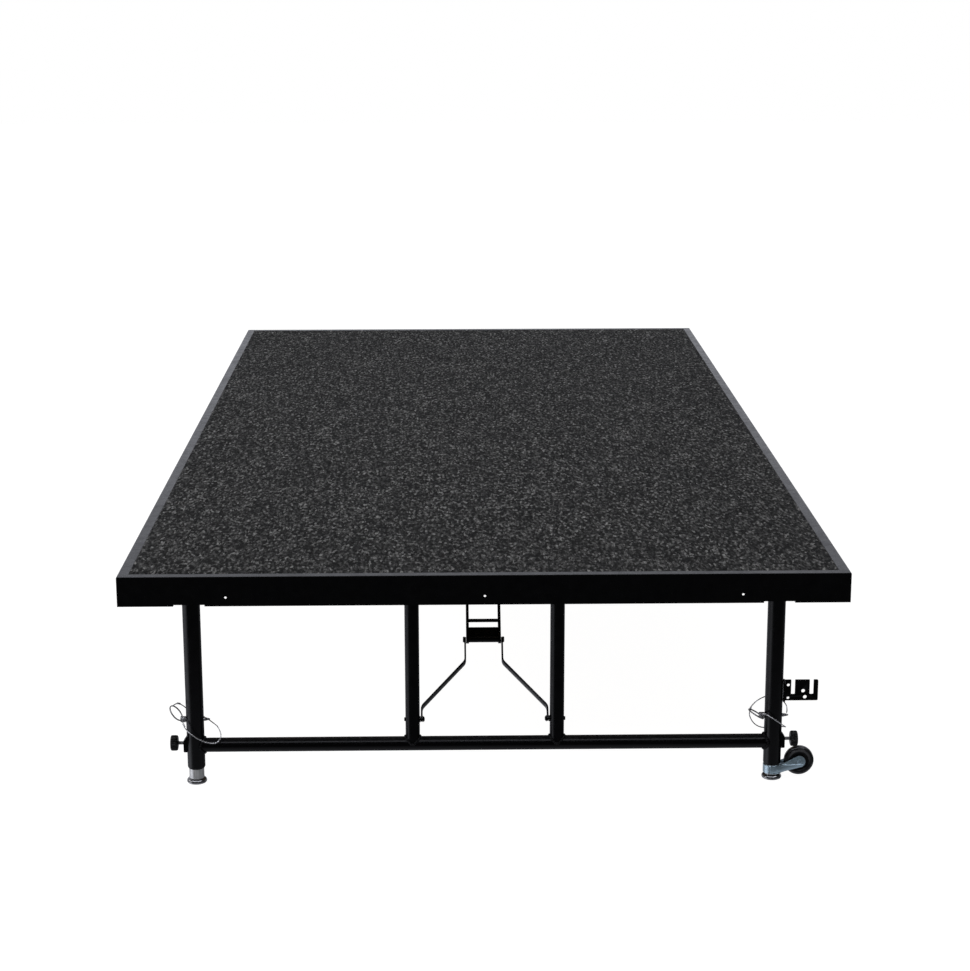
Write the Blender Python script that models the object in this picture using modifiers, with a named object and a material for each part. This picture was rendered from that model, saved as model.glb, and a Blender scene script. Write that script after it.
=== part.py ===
"""Adjustable height stage: a carpeted 4 ft by 8 ft deck on two leg frames that fold flat under it.

Units are metres and +Z is up. +X runs across the deck, towards the side with the wheels, and +Y
along it, from the front end to the rear end. The origin is on the floor under the deck's middle.
An inset is a distance from a deck end inwards, so it means the same at both ends.
"""
import math

import bmesh
import bpy
from mathutils import Matrix, Vector

# Deck
DECK_WIDTH = 1.2192
DECK_LENGTH = 2.4384
DECK_TOP = 0.372
BOARD_THICKNESS = 0.016
CARPET_THICKNESS = 0.0035
CARPET_EDGE_RADIUS = 0.001

# Edge rails, one section all round: a web, a lip over the board's edge, a ledge and a bottom flange
RAIL_HEIGHT = 0.0508
RAIL_WALL = 0.0025
RAIL_CORNER_RADIUS = 0.0015
LIP_WIDTH = 0.018
LEDGE_THICKNESS = 0.002
SIDE_LEDGE_WIDTH = 0.020
END_LEDGE_WIDTH = 0.012
FLANGE_THICKNESS = 0.0022
SIDE_FLANGE_WIDTH = 0.025
END_FLANGE_WIDTH = 0.014
NOTCH_WIDTH = 0.052
NOTCH_DEPTH = 0.0026
APRON_HOLE_DIAMETER = 0.0045
APRON_HOLE_FROM_EDGE = 0.1796
APRON_HOLE_BELOW_TOP = 0.036

# Under the deck
SPLICE_LENGTH = 0.140
SPLICE_THICKNESS = 0.0025
CROSS_MEMBER_SIZE = 0.0254
CROSS_MEMBER_WALL = 0.0016
CROSS_MEMBER_Y = 0.406

# Leg frames
LEG_INSET = 0.030
LEG_FROM_EDGE = 0.1186
LEG_OD = 0.030
LEG_WALL = 0.0019
LEG_BOTTOM = 0.0265
LEG_CHAMFER = 0.0028
INNER_LEG_X = 0.1225
STRUT_OD = 0.0244
STRUT_WALL = 0.0016
CROSSBAR_HEIGHT = 0.0667
PIVOT_BELOW_BOARD = 0.0209
LEG_ABOVE_PIVOT = 0.008
PIVOT_BOLT_DIAMETER = 0.008
BRACKET_THICKNESS = 0.0025
BRACKET_LENGTH = 0.030
CHEEK_RADIUS = 0.011
CHEEK_PLAY = 0.0006
BOLT_HEAD_HEIGHT = 0.004

# Telescopic legs
TELESCOPE_OD = 0.0254
TELESCOPE_WALL = 0.0016
TELESCOPE_BELOW_PIVOT = 0.0065
TRAVEL = 0.2032
GLIDE_DIAMETER = 0.034
GLIDE_HEIGHT = 0.0085
GLIDE_EDGE_RADIUS = 0.003
GLIDE_PLUG_LENGTH = 0.014

# Locking pins and clamp knobs
PIN_HEIGHT = 0.113
PIN_DIAMETER = 0.0063
PIN_HEAD_DIAMETER = 0.0105
PIN_HEAD_LENGTH = 0.009
PIN_TIP_LENGTH = 0.009
PIN_OVERHANG = 0.0104
RING_DIAMETER = 0.029
RING_WIRE = 0.0018
RING_FROM_SEAT = 0.007
RING_LEAN = math.radians(40)
KNOB_HEIGHT = 0.0705
KNOB_DIAMETER = 0.0264
KNOB_THICKNESS = 0.0122
KNOB_EDGE_RADIUS = 0.003
KNOB_STAND_OFF = 0.0095
CLAMP_SCREW_DIAMETER = 0.0058
BOSS_DEPTH = 0.0055
BOSS_WIDTH = 0.018
BOSS_TALL = 0.0315
BOSS_HEIGHT = 0.0687

# Folding brace
BRACE_PIVOT_HEIGHT = 0.110
BRACE_ANCHOR_INSET = 0.272
BRACE_BAR_WIDTH = 0.0127
BRACE_BAR_THICKNESS = 0.003
BRACE_BEND_RADIUS = 0.014
BRACE_SPREAD_START = 0.030
BRACE_SPREAD_END = 0.118
BRACE_BOLT_DIAMETER = 0.006
ARM_SPAN = 0.0606
ARM_THICKNESS = 0.005
ARM_WIDTH = 0.014
ARM_PIN_DIAMETER = 0.008
ELBOW_ROD_DIAMETER = 0.010
RUNG_DIAMETER = 0.0062
RUNG_FROM_ELBOW = 0.038
LOCK_PLATE_START = 0.008
LOCK_PLATE_LENGTH = 0.019
LOCK_PLATE_THICKNESS = 0.004
ANCHOR_LENGTH = 0.018

# Wheel and its fork
WHEEL_REACH = 0.046
WHEEL_HEIGHT = 0.0315
WHEEL_DIAMETER = 0.0508
WHEEL_WIDTH = 0.014
TREAD_RADIUS = 0.004
HUB_DIAMETER = 0.030
HUB_RECESS = 0.0025
AXLE_DIAMETER = 0.006
FORK_PLATE = 0.002
FORK_PLAY = 0.001
FORK_END_RADIUS = 0.0103
FORK_BAND_BOTTOM = 0.0112
FORK_BAND_TOP = 0.0254
FORK_BAND_THICKNESS = 0.002

# Slotted plate that hooks on to the next stage
PLATE_WIDTH = 0.0595
PLATE_HEIGHT = 0.037
PLATE_BOTTOM = 0.139
PLATE_THICKNESS = 0.003
PLATE_CORNER_RADIUS = 0.0022
PLATE_FLANGE_DEPTH = 0.018
SLOT_WIDTH = 0.007
SLOT_DEPTH = 0.0258
SLOT_CENTRES = (0.0169, 0.0484)
PLATE_HOLES = ((0.0088, 0.0275, 0.0027), (0.0088, 0.0045, 0.0025),
               (0.0342, 0.0170, 0.0036), (0.0375, 0.0062, 0.0036))

# Lanyards: points across from the leg's centre, inwards from the leg's plane, and above the floor
LANYARD_DIAMETER = 0.0018
LANYARD_STEP = 0.0054
LANYARD_ROUTES = {
    "left": ((-0.0200, -0.0056, 0.1122), (-0.0196, -0.0095, 0.1108), (-0.0176, -0.0135, 0.1070),
             (-0.0132, -0.0190, 0.1010), (-0.0040, -0.0225, 0.0935), (0.0078, -0.0220, 0.0848),
             (0.0195, -0.0190, 0.0785), (0.0300, -0.0170, 0.0755), (0.0392, -0.0150, 0.0775),
             (0.0440, -0.0090, 0.0870), (0.0385, -0.0010, 0.0985), (0.0290, 0.0060, 0.1060),
             (0.0200, 0.0120, 0.1110), (0.0090, 0.0170, 0.1150), (-0.0040, 0.0178, 0.1190),
             (-0.0140, 0.0168, 0.1250), (-0.0220, 0.0145, 0.1325), (-0.0285, 0.0110, 0.1378),
             (-0.0314, 0.0060, 0.1388), (-0.0316, 0.0012, 0.1386)),
    "right": ((-0.0205, -0.0056, 0.1135), (-0.0198, -0.0095, 0.1143), (-0.0175, -0.0132, 0.1145),
              (-0.0110, -0.0185, 0.1120), (-0.0010, -0.0205, 0.1070), (0.0095, -0.0190, 0.1010),
              (0.0172, -0.0135, 0.0960), (0.0205, -0.0050, 0.0925), (0.0190, 0.0060, 0.0895),
              (0.0130, 0.0138, 0.0865), (0.0030, 0.0177, 0.0845), (-0.0080, 0.0173, 0.0840),
              (-0.0180, 0.0140, 0.0860), (-0.0280, 0.0100, 0.0920), (-0.0355, 0.0078, 0.1010),
              (-0.0395, 0.0072, 0.1120), (-0.0375, 0.0072, 0.1240), (-0.0300, 0.0088, 0.1330),
              (-0.0190, 0.0125, 0.1390), (-0.0070, 0.0173, 0.1410), (0.0050, 0.0175, 0.1390),
              (0.0160, 0.0140, 0.1345), (0.0225, 0.0070, 0.1285), (0.0235, 0.0015, 0.1215),
              (0.0226, 0.0000, 0.1162)),
}

# Fits
GAP = 0.0003
HOLE_PLAY = 0.0004
SEGMENTS = 14
FINE_SEGMENTS = 8
HOLE_SEGMENTS = 8

# Finishes: base colour, roughness, metallic
FINISHES = {
    "black_paint": ((0.008, 0.008, 0.010), 0.38, 0.0),
    "carpet": ((0.030, 0.030, 0.032), 0.95, 0.0),
    "plywood": ((0.42, 0.30, 0.18), 0.75, 0.0),
    "bright_steel": ((0.62, 0.63, 0.64), 0.22, 1.0),
    "zinc": ((0.36, 0.43, 0.48), 0.38, 1.0),
    "black_plastic": ((0.012, 0.012, 0.012), 0.55, 0.0),
    "black_rubber": ((0.015, 0.015, 0.016), 0.60, 0.0),
}

# Derived sizes
HALF_WIDTH = DECK_WIDTH / 2
HALF_LENGTH = DECK_LENGTH / 2
RAIL_BOTTOM = DECK_TOP - RAIL_HEIGHT
LIP_UNDERSIDE = DECK_TOP - RAIL_WALL
BOARD_TOP = LIP_UNDERSIDE - GAP
BOARD_BOTTOM = BOARD_TOP - BOARD_THICKNESS
LEDGE_TOP = BOARD_BOTTOM - GAP
UNDER_BOARD = BOARD_BOTTOM - GAP
PIVOT_HEIGHT = UNDER_BOARD - PIVOT_BELOW_BOARD
TELESCOPE_TOP = PIVOT_HEIGHT - TELESCOPE_BELOW_PIVOT
LEG_X = HALF_WIDTH - LEG_FROM_EDGE
WHEEL_X = LEG_X + WHEEL_REACH
APRON_HOLE_X = HALF_WIDTH - APRON_HOLE_FROM_EDGE
LEG_BORE = LEG_OD - 2 * LEG_WALL
CLAMP_OUTER = LEG_OD / 2 + BOSS_DEPTH
SPACER = GAP + BRACE_BAR_THICKNESS

# Brace geometry: straight when the legs stand, folded flat on itself when the legs lie under the deck
BRACE_RISE = PIVOT_HEIGHT - BRACE_PIVOT_HEIGHT
BRACE_RUN = BRACE_ANCHOR_INSET - LEG_INSET
BRACE_REACH = math.hypot(BRACE_RISE, BRACE_RUN)
BRACE_ANGLE = math.atan2(BRACE_RISE, BRACE_RUN)
LOWER_LINK = (BRACE_REACH - BRACE_RUN + BRACE_RISE) / 2
UPPER_LINK = BRACE_REACH - LOWER_LINK

ENDS = {"front": -1, "rear": 1}
SIDES = {"left": -1, "right": 1}

# Rotations: a turned piece's axis to +X or +Y, and an outline's plane to the side or front view.
# The roll keeps the facet corners of a crosswise round off those of the upright tubes.
ROLL = math.radians(7)
AXIS_TO_X = Matrix.Rotation(math.radians(90), 4, "Y") @ Matrix.Rotation(ROLL, 4, "Z")
AXIS_TO_Y = Matrix.Rotation(math.radians(-90), 4, "X")
FRONT_VIEW = Matrix.Rotation(math.radians(90), 4, "X")
SIDE_VIEW = Matrix(((0, 0, 1, 0), (1, 0, 0, 0), (0, 1, 0, 0), (0, 0, 0, 1)))
UPRIGHT_VIEW = Matrix.Rotation(math.radians(-90), 4, "Y")


def clear_scene():
    for obj in list(bpy.data.objects):
        bpy.data.objects.remove(obj, do_unlink=True)


def new_collection(name):
    collection = bpy.data.collections.new(name)
    bpy.context.scene.collection.children.link(collection)
    return collection


def paint(obj, kind):
    """Give an object its own material with a finish's colour, roughness and metallic value."""
    color, roughness, metallic = FINISHES[kind]
    material = bpy.data.materials.new(obj.name)
    material.use_nodes = True
    shader = material.node_tree.nodes["Principled BSDF"]
    shader.inputs["Base Color"].default_value = (*color, 1.0)
    shader.inputs["Roughness"].default_value = roughness
    shader.inputs["Metallic"].default_value = metallic
    obj.data.materials.clear()
    obj.data.materials.append(material)


def mesh_object(name, mesh, place):
    obj = bpy.data.objects.new(name, mesh)
    obj.matrix_world = place
    PARTS.objects.link(obj)
    return obj


def turned(name, profile, place, segments=SEGMENTS):
    """Turn (radius, height) points round local Z; the points run down the outer side first."""
    on_axis = profile[0][0] == 0
    count = len(profile)
    edges = [(i, i + 1) for i in range(count - 1)]
    if not on_axis:
        edges.append((count - 1, 0))
    mesh = bpy.data.meshes.new(name)
    mesh.from_pydata([(radius, 0, height) for radius, height in profile], edges, [])
    obj = mesh_object(name, mesh, place)
    screw = obj.modifiers.new("Turn", "SCREW")
    screw.steps = screw.render_steps = segments
    screw.use_merge_vertices = True
    screw.merge_threshold = 0.00001
    screw.use_smooth_shade = True
    return obj


def rod(name, radius, low, high, place, segments=SEGMENTS):
    return turned(name, ((0, high), (radius, high), (radius, low), (0, low)), place, segments)


def tube(name, radius, bore, low, high, place, segments=SEGMENTS):
    return turned(name, ((radius, high), (radius, low), (bore, low), (bore, high)), place, segments)


def box(name, low, high):
    """A box between two corners, with its origin at its middle."""
    low, high = Vector(low), Vector(high)
    mesh = bpy.data.meshes.new(name)
    shape = bmesh.new()
    bmesh.ops.create_cube(shape, size=1, matrix=Matrix.Diagonal((*(high - low), 1)))
    shape.to_mesh(mesh)
    shape.free()
    return mesh_object(name, mesh, Matrix.Translation((low + high) / 2))


def filleted(points, radius, steps=4, closed=True):
    """Replace each corner of a flat line with an arc; radius is one value or one for each point."""
    count = len(points)
    radii = radius if isinstance(radius, (list, tuple)) else [radius] * count
    result = []
    for index, corner in enumerate(points):
        inside = closed or 0 < index < count - 1
        here = Vector(corner)
        if not inside or radii[index] == 0:
            result.append(here)
            continue
        back = (Vector(points[index - 1]) - here).normalized()
        ahead = (Vector(points[(index + 1) % count]) - here).normalized()
        half = back.angle(ahead) / 2
        centre = here + (back + ahead).normalized() * radii[index] / math.sin(half)
        reach = radii[index] / math.tan(half)
        first = here + back * reach - centre
        last = here + ahead * reach - centre
        start = math.atan2(first.y, first.x)
        sweep = (math.atan2(last.y, last.x) - start + math.pi) % (2 * math.pi) - math.pi
        for step in range(steps + 1):
            angle = start + sweep * step / steps
            result.append(centre + radii[index] * Vector((math.cos(angle), math.sin(angle))))
    return result


def circle(centre, radius, segments=FINE_SEGMENTS):
    turns = [2 * math.pi * step / segments for step in range(segments)]
    return [(centre[0] + radius * math.cos(t), centre[1] + radius * math.sin(t)) for t in turns]


def stadium(start, end, radius, steps=6):
    """A slot shape along local X with half-round ends centred at start and end."""
    loop = []
    for centre, turn in ((end, -math.pi / 2), (start, math.pi / 2)):
        for step in range(steps + 1):
            angle = turn + math.pi * step / steps
            loop.append((centre + radius * math.cos(angle), radius * math.sin(angle)))
    return loop


def outline_mesh(name, loops, thickness):
    """The closed mesh of flat loops, holes among them, thickened evenly about local Z = 0."""
    curve = bpy.data.curves.new(name, "CURVE")
    curve.dimensions = "2D"
    curve.fill_mode = "BOTH"
    curve.extrude = thickness / 2
    for loop in loops:
        spline = curve.splines.new("POLY")
        spline.points.add(len(loop) - 1)
        for point, (x, y) in zip(spline.points, loop):
            point.co = (x, y, 0, 1)
        spline.use_cyclic_u = True
    holder = bpy.data.objects.new(name, curve)
    PARTS.objects.link(holder)
    mesh = evaluated_mesh(holder)
    bpy.data.objects.remove(holder, do_unlink=True)
    return mesh


def evaluated_mesh(obj):
    """A welded copy of an object's final mesh, in its own coordinates."""
    graph = bpy.context.evaluated_depsgraph_get()
    mesh = bpy.data.meshes.new_from_object(obj.evaluated_get(graph))
    shape = bmesh.new()
    shape.from_mesh(mesh)
    bmesh.ops.remove_doubles(shape, verts=shape.verts, dist=0.000001)
    shape.to_mesh(mesh)
    shape.free()
    mesh.materials.clear()
    return mesh


def plate(name, loops, thickness, place):
    return mesh_object(name, outline_mesh(name, loops, thickness), place)


def combine(target, operation, *tools):
    """Cut, join or trim a target with tools, which stay as hidden guides."""
    for tool in tools:
        PARTS.objects.unlink(tool)
        CUTTERS.objects.link(tool)
        tool.hide_render = True
        tool.display_type = "WIRE"
        step = target.modifiers.new(tool.name, "BOOLEAN")
        step.operation = operation
        step.object = tool
    return target


def group_mesh(pieces, place=Matrix()):
    """One mesh of the final shapes of some pieces, which go away with their guides."""
    bpy.context.view_layer.update()
    shape = bmesh.new()
    for piece in pieces:
        mesh = evaluated_mesh(piece)
        mesh.transform(place.inverted() @ piece.matrix_world)
        shape.from_mesh(mesh)
        bpy.data.meshes.remove(mesh)
    mesh = bpy.data.meshes.new(pieces[0].name)
    shape.to_mesh(mesh)
    shape.free()
    for piece in pieces:
        tools = [step.object for step in piece.modifiers if step.type == "BOOLEAN"]
        for obj in (*tools, piece):
            bpy.data.objects.remove(obj, do_unlink=True)
    return mesh


def pivot(name, location, parent=None):
    """An empty on a joint's axis, which carries the pieces that move with that joint."""
    empty = bpy.data.objects.new(name, None)
    empty.empty_display_size = 0.03
    empty.matrix_world = Matrix.Translation(location)
    PARTS.objects.link(empty)
    attach(empty, parent)
    return empty


def attach(child, parent):
    """Parent a piece and keep it where it is."""
    if parent is None:
        return
    bpy.context.view_layer.update()
    world = child.matrix_world.copy()
    child.parent = parent
    child.matrix_parent_inverse = parent.matrix_world.inverted()
    child.matrix_basis = world


def finish(obj, kind, parent=None):
    paint(obj, kind)
    attach(obj, parent)
    if obj.type == "MESH" and not any(step.type == "SCREW" for step in obj.modifiers):
        obj.data.shade_smooth()
        obj.data.set_sharp_from_angle(angle=math.radians(35))
    return obj


def at(x, end, inset, z):
    """A point at an inset from one deck end."""
    return Vector((x, end * (HALF_LENGTH - inset), z))


def facing(end, angle):
    """The rotation about X that turns local Y to an angle above the inward direction."""
    return Matrix.Rotation(angle if end < 0 else math.pi - angle, 4, "X")


# Deck

def rail_section(ledge, flange):
    """The rail's section: distance in from its outer face, and height."""
    lip = DECK_TOP - RAIL_WALL
    points = [(0, RAIL_BOTTOM), (0, DECK_TOP), (LIP_WIDTH, DECK_TOP), (LIP_WIDTH, lip),
              (RAIL_WALL, lip), (RAIL_WALL, LEDGE_TOP), (ledge, LEDGE_TOP),
              (ledge, LEDGE_TOP - LEDGE_THICKNESS), (RAIL_WALL, LEDGE_TOP - LEDGE_THICKNESS),
              (RAIL_WALL, RAIL_BOTTOM + FLANGE_THICKNESS), (flange, RAIL_BOTTOM + FLANGE_THICKNESS),
              (flange, RAIL_BOTTOM)]
    radii = [0, RAIL_CORNER_RADIUS] + [0] * (len(points) - 2)
    return filleted(points, radii, steps=3)


def rail(name, section, low, high, mitres, place):
    """A rail along local Z from low to high, with a mitre at the ends that ask for one."""
    mesh = outline_mesh(name, [section], high - low)
    for vertex in mesh.vertices:
        at_top = vertex.co.z > 0
        cut = vertex.co.x if mitres[1 if at_top else 0] else 0
        vertex.co.z = (high - cut - GAP / 2) if at_top else (low + cut + GAP / 2)
    return mesh_object(name, mesh, place)


def end_rail(name, end):
    """An end rail, notched below for the outer legs and drilled through three times."""
    turn = Matrix.Rotation(0 if end < 0 else math.pi, 4, "Z") @ SIDE_VIEW
    place = Matrix.Translation((0, end * HALF_LENGTH, 0)) @ turn
    obj = rail(name, rail_section(END_LEDGE_WIDTH, END_FLANGE_WIDTH), -HALF_WIDTH, HALF_WIDTH,
               (True, True), place)
    for side in SIDES.values():
        edge = at(side * LEG_X, end, 0, 0).y
        notch = box(f"{name}_notch", (side * LEG_X - NOTCH_WIDTH / 2, edge - END_FLANGE_WIDTH - GAP,
                                      RAIL_BOTTOM - GAP),
                    (side * LEG_X + NOTCH_WIDTH / 2, edge + END_FLANGE_WIDTH + GAP,
                     RAIL_BOTTOM + NOTCH_DEPTH))
        combine(obj, "DIFFERENCE", notch)
    for x in (-APRON_HOLE_X, 0, APRON_HOLE_X):
        hole = rod(f"{name}_hole", APRON_HOLE_DIAMETER / 2, -2 * RAIL_WALL, 2 * RAIL_WALL,
                   Matrix.Translation((x, end * HALF_LENGTH, DECK_TOP - APRON_HOLE_BELOW_TOP)) @ AXIS_TO_Y,
                   FINE_SEGMENTS)
        combine(obj, "DIFFERENCE", hole)
    return finish(obj, "black_paint")


def side_rail(name, end, side):
    """Half of a side rail, mitred at the corner and square at the splice."""
    turn = Matrix.Rotation(math.radians(90 * side), 4, "Z") @ SIDE_VIEW
    place = Matrix.Translation((side * HALF_WIDTH, 0, 0)) @ turn
    along = end * side
    low, high = (0, HALF_LENGTH) if along > 0 else (-HALF_LENGTH, 0)
    obj = rail(name, rail_section(SIDE_LEDGE_WIDTH, SIDE_FLANGE_WIDTH), low, high,
               (along < 0, along > 0), place)
    if end > 0:
        combine(obj, "UNION", splice_plate(f"{name}_splice", side))
    return finish(obj, "black_paint")


def splice_plate(name, side):
    """The flat plate welded inside a rear rail half, which reaches over the butt joint."""
    web = HALF_WIDTH - RAIL_WALL
    low = RAIL_BOTTOM + FLANGE_THICKNESS + GAP
    high = LEDGE_TOP - LEDGE_THICKNESS - GAP
    inner = web - GAP - SPLICE_THICKNESS
    reach = SPLICE_LENGTH / 2
    near = sorted((side * inner, side * (web - GAP)))
    weld = sorted((side * (inner + GAP), side * (web + RAIL_WALL / 2)))
    tongue = box(name, (near[0], -reach, low), (near[1], reach, high))
    root = box(f"{name}_weld", (weld[0], 2 * GAP, low + GAP), (weld[1], reach - GAP, high - GAP))
    return mesh_object(name, group_mesh([combine(tongue, "UNION", root)]), Matrix())


def cross_member(name, y):
    """A square tube across the deck, coped at both ends to pass under the side rails' ledges."""
    half = HALF_WIDTH - RAIL_WALL - GAP
    low, high = y - CROSS_MEMBER_SIZE / 2, y + CROSS_MEMBER_SIZE / 2
    bottom = UNDER_BOARD - CROSS_MEMBER_SIZE
    wall = CROSS_MEMBER_WALL
    obj = box(name, (-half, low, bottom), (half, high, UNDER_BOARD))
    bore = box(f"{name}_bore", (-HALF_WIDTH, low + wall, bottom + wall),
               (HALF_WIDTH, high - wall, UNDER_BOARD - wall))
    combine(obj, "DIFFERENCE", bore)
    ledge = HALF_WIDTH - SIDE_LEDGE_WIDTH - GAP
    for side in SIDES.values():
        edges = sorted((side * ledge, side * HALF_WIDTH))
        cope = box(f"{name}_cope", (edges[0], low - GAP, LEDGE_TOP - LEDGE_THICKNESS - GAP),
                   (edges[1], high + GAP, DECK_TOP))
        combine(obj, "DIFFERENCE", cope)
    return finish(obj, "black_paint")


def deck_board(name):
    half_width = HALF_WIDTH - RAIL_WALL - GAP
    half_length = HALF_LENGTH - RAIL_WALL - GAP
    obj = box(name, (-half_width, -half_length, BOARD_BOTTOM), (half_width, half_length, BOARD_TOP))
    return finish(obj, "plywood")


def carpet(name):
    """The carpet lies inside the rails' lips, with a softened top edge."""
    half_width = HALF_WIDTH - LIP_WIDTH - GAP
    half_length = HALF_LENGTH - LIP_WIDTH - GAP
    obj = box(name, (-half_width, -half_length, LIP_UNDERSIDE),
              (half_width, half_length, LIP_UNDERSIDE + CARPET_THICKNESS))
    edge = obj.modifiers.new("Edge", "BEVEL")
    edge.width = CARPET_EDGE_RADIUS
    edge.segments = 2
    return finish(obj, "carpet")


# Leg frames

def pivot_bolt(name, x, diameter, end):
    """The bolt that one leg turns on, with its head and nut outside the bracket's cheeks."""
    radius = PIVOT_BOLT_DIAMETER / 2
    head = 1.6 * radius
    face = diameter / 2 + CHEEK_PLAY + BRACKET_THICKNESS / 2
    top = face + BRACKET_THICKNESS / 2 + BOLT_HEAD_HEIGHT
    profile = ((0, top), (head, top), (head, face), (radius, face),
               (radius, -face), (head, -face), (head, -top), (0, -top))
    place = Matrix.Translation(at(x, end, LEG_INSET, PIVOT_HEIGHT)) @ AXIS_TO_X
    return turned(name, profile, place, FINE_SEGMENTS)


def pivot_bracket(name, end, legs):
    """A strap under the board, with rounded cheeks beside each leg's top and its pivot bolt."""
    faces = [x + sign * (diameter / 2 + CHEEK_PLAY + BRACKET_THICKNESS / 2)
             for x, diameter in legs for sign in (-1, 1)]
    foot = at(0, end, LEG_INSET, 0)
    half = BRACKET_LENGTH / 2
    reach = BRACKET_THICKNESS / 2 - GAP
    obj = box(name, (faces[0] - reach, foot.y - half, UNDER_BOARD - BRACKET_THICKNESS),
              (faces[-1] + reach, foot.y + half, UNDER_BOARD))
    turns = [-math.pi * step / 6 for step in range(7)]
    root = UNDER_BOARD - BRACKET_THICKNESS / 2
    cheek = [(CHEEK_RADIUS * math.cos(t), PIVOT_HEIGHT + CHEEK_RADIUS * math.sin(t)) for t in turns]
    cheek += [(GAP - half, root), (half - GAP, root)]
    for face in faces:
        side = Matrix.Translation(foot + Vector((face, 0, 0))) @ SIDE_VIEW
        combine(obj, "UNION", plate(f"{name}_cheek", [cheek], BRACKET_THICKNESS, side))
    for x, diameter in legs:
        combine(obj, "UNION", pivot_bolt(f"{name}_bolt", x, diameter, end))
    return finish(obj, "black_paint")


def cross_hole(name, x, end, height, diameter, low, high):
    """A cutter along X through a leg, between two distances from the leg's axis."""
    place = Matrix.Translation(at(x, end, LEG_INSET, height)) @ AXIS_TO_X
    return rod(name, diameter / 2 + HOLE_PLAY, low, high, place, HOLE_SEGMENTS)


def outer_leg(name, end, side, parent):
    """A leg tube with its clamp boss, bored for the telescopic leg, the pin, bolt and screw."""
    x = side * LEG_X
    radius = LEG_OD / 2
    top = PIVOT_HEIGHT + LEG_ABOVE_PIVOT
    foot = radius - LEG_WALL + GAP
    place = Matrix.Translation(at(x, end, LEG_INSET, 0))
    obj = turned(name, ((0, top), (radius, top), (radius, LEG_BOTTOM + LEG_CHAMFER),
                        (foot, LEG_BOTTOM), (0, LEG_BOTTOM)), place)
    middle = at(x, end, LEG_INSET, BOSS_HEIGHT)
    edges = sorted((x + side * radius / 2, x + side * CLAMP_OUTER))
    boss = box(f"{name}_boss", (edges[0], middle.y - BOSS_WIDTH / 2, middle.z - BOSS_TALL / 2),
               (edges[1], middle.y + BOSS_WIDTH / 2, middle.z + BOSS_TALL / 2))
    combine(obj, "UNION", boss)
    bore = rod(f"{name}_bore", LEG_BORE / 2, LEG_BOTTOM - GAP, top + GAP, place)
    pin_hole = cross_hole(f"{name}_pin_hole", x, end, PIN_HEIGHT, PIN_DIAMETER, -LEG_OD, LEG_OD)
    bolt_hole = cross_hole(f"{name}_bolt_hole", x, end, PIVOT_HEIGHT, PIVOT_BOLT_DIAMETER,
                           -LEG_OD, LEG_OD)
    low, high = sorted((0, side * 2 * CLAMP_OUTER))
    screw_hole = cross_hole(f"{name}_screw_hole", x, end, KNOB_HEIGHT, CLAMP_SCREW_DIAMETER, low, high)
    combine(obj, "DIFFERENCE", bore, pin_hole, bolt_hole, screw_hole)
    return finish(obj, "black_paint", parent)


def lower_crossbar(name, end, parent):
    """A tube between the outer legs, its ends coped round them."""
    radius = STRUT_OD / 2
    place = Matrix.Translation(at(0, end, LEG_INSET, CROSSBAR_HEIGHT)) @ AXIS_TO_X
    obj = tube(name, radius, radius - STRUT_WALL, -LEG_X, LEG_X, place)
    for side in SIDES.values():
        cope = rod(f"{name}_cope", LEG_OD / 2 + GAP, -STRUT_OD, STRUT_OD,
                   Matrix.Translation(at(side * LEG_X, end, LEG_INSET, CROSSBAR_HEIGHT)))
        combine(obj, "DIFFERENCE", cope)
    return finish(obj, "black_paint", parent)


def inner_leg(name, end, side, parent):
    """A tube from the crossbar, coped over it, up to its pivot bolt."""
    radius = STRUT_OD / 2
    x = side * INNER_LEG_X
    place = Matrix.Translation(at(x, end, LEG_INSET, 0))
    obj = tube(name, radius, radius - STRUT_WALL, CROSSBAR_HEIGHT, PIVOT_HEIGHT + LEG_ABOVE_PIVOT, place)
    cope = rod(f"{name}_cope", radius + GAP, -STRUT_OD, STRUT_OD,
               Matrix.Translation(at(x, end, LEG_INSET, CROSSBAR_HEIGHT)) @ AXIS_TO_X)
    bolt_hole = cross_hole(f"{name}_bolt_hole", x, end, PIVOT_HEIGHT, PIVOT_BOLT_DIAMETER,
                           -STRUT_OD, STRUT_OD)
    combine(obj, "DIFFERENCE", cope, bolt_hole)
    combine(obj, "UNION", brace_bolt(f"{name}_bolt", end, side))
    return finish(obj, "black_paint", parent)


def brace_bolt(name, end, side):
    """The bolt through an inner leg whose shank and nut hold the brace's lower bar."""
    radius = BRACE_BOLT_DIAMETER / 2
    head = 1.7 * radius
    inner = STRUT_OD / 2 + SPACER + GAP
    outer = STRUT_OD / 2 - STRUT_WALL / 2
    top = STRUT_OD / 2 + BOLT_HEAD_HEIGHT / 2
    profile = ((0, top), (head, top), (head, outer), (radius, outer), (radius, -inner),
               (head, -inner), (head, -inner - BOLT_HEAD_HEIGHT), (0, -inner - BOLT_HEAD_HEIGHT))
    turn = Matrix.Rotation(math.radians(90 * side), 4, "Y") @ Matrix.Rotation(ROLL, 4, "Z")
    place = Matrix.Translation(at(side * INNER_LEG_X, end, LEG_INSET, BRACE_PIVOT_HEIGHT)) @ turn
    return turned(name, profile, place, FINE_SEGMENTS)


# Folding brace

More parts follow.
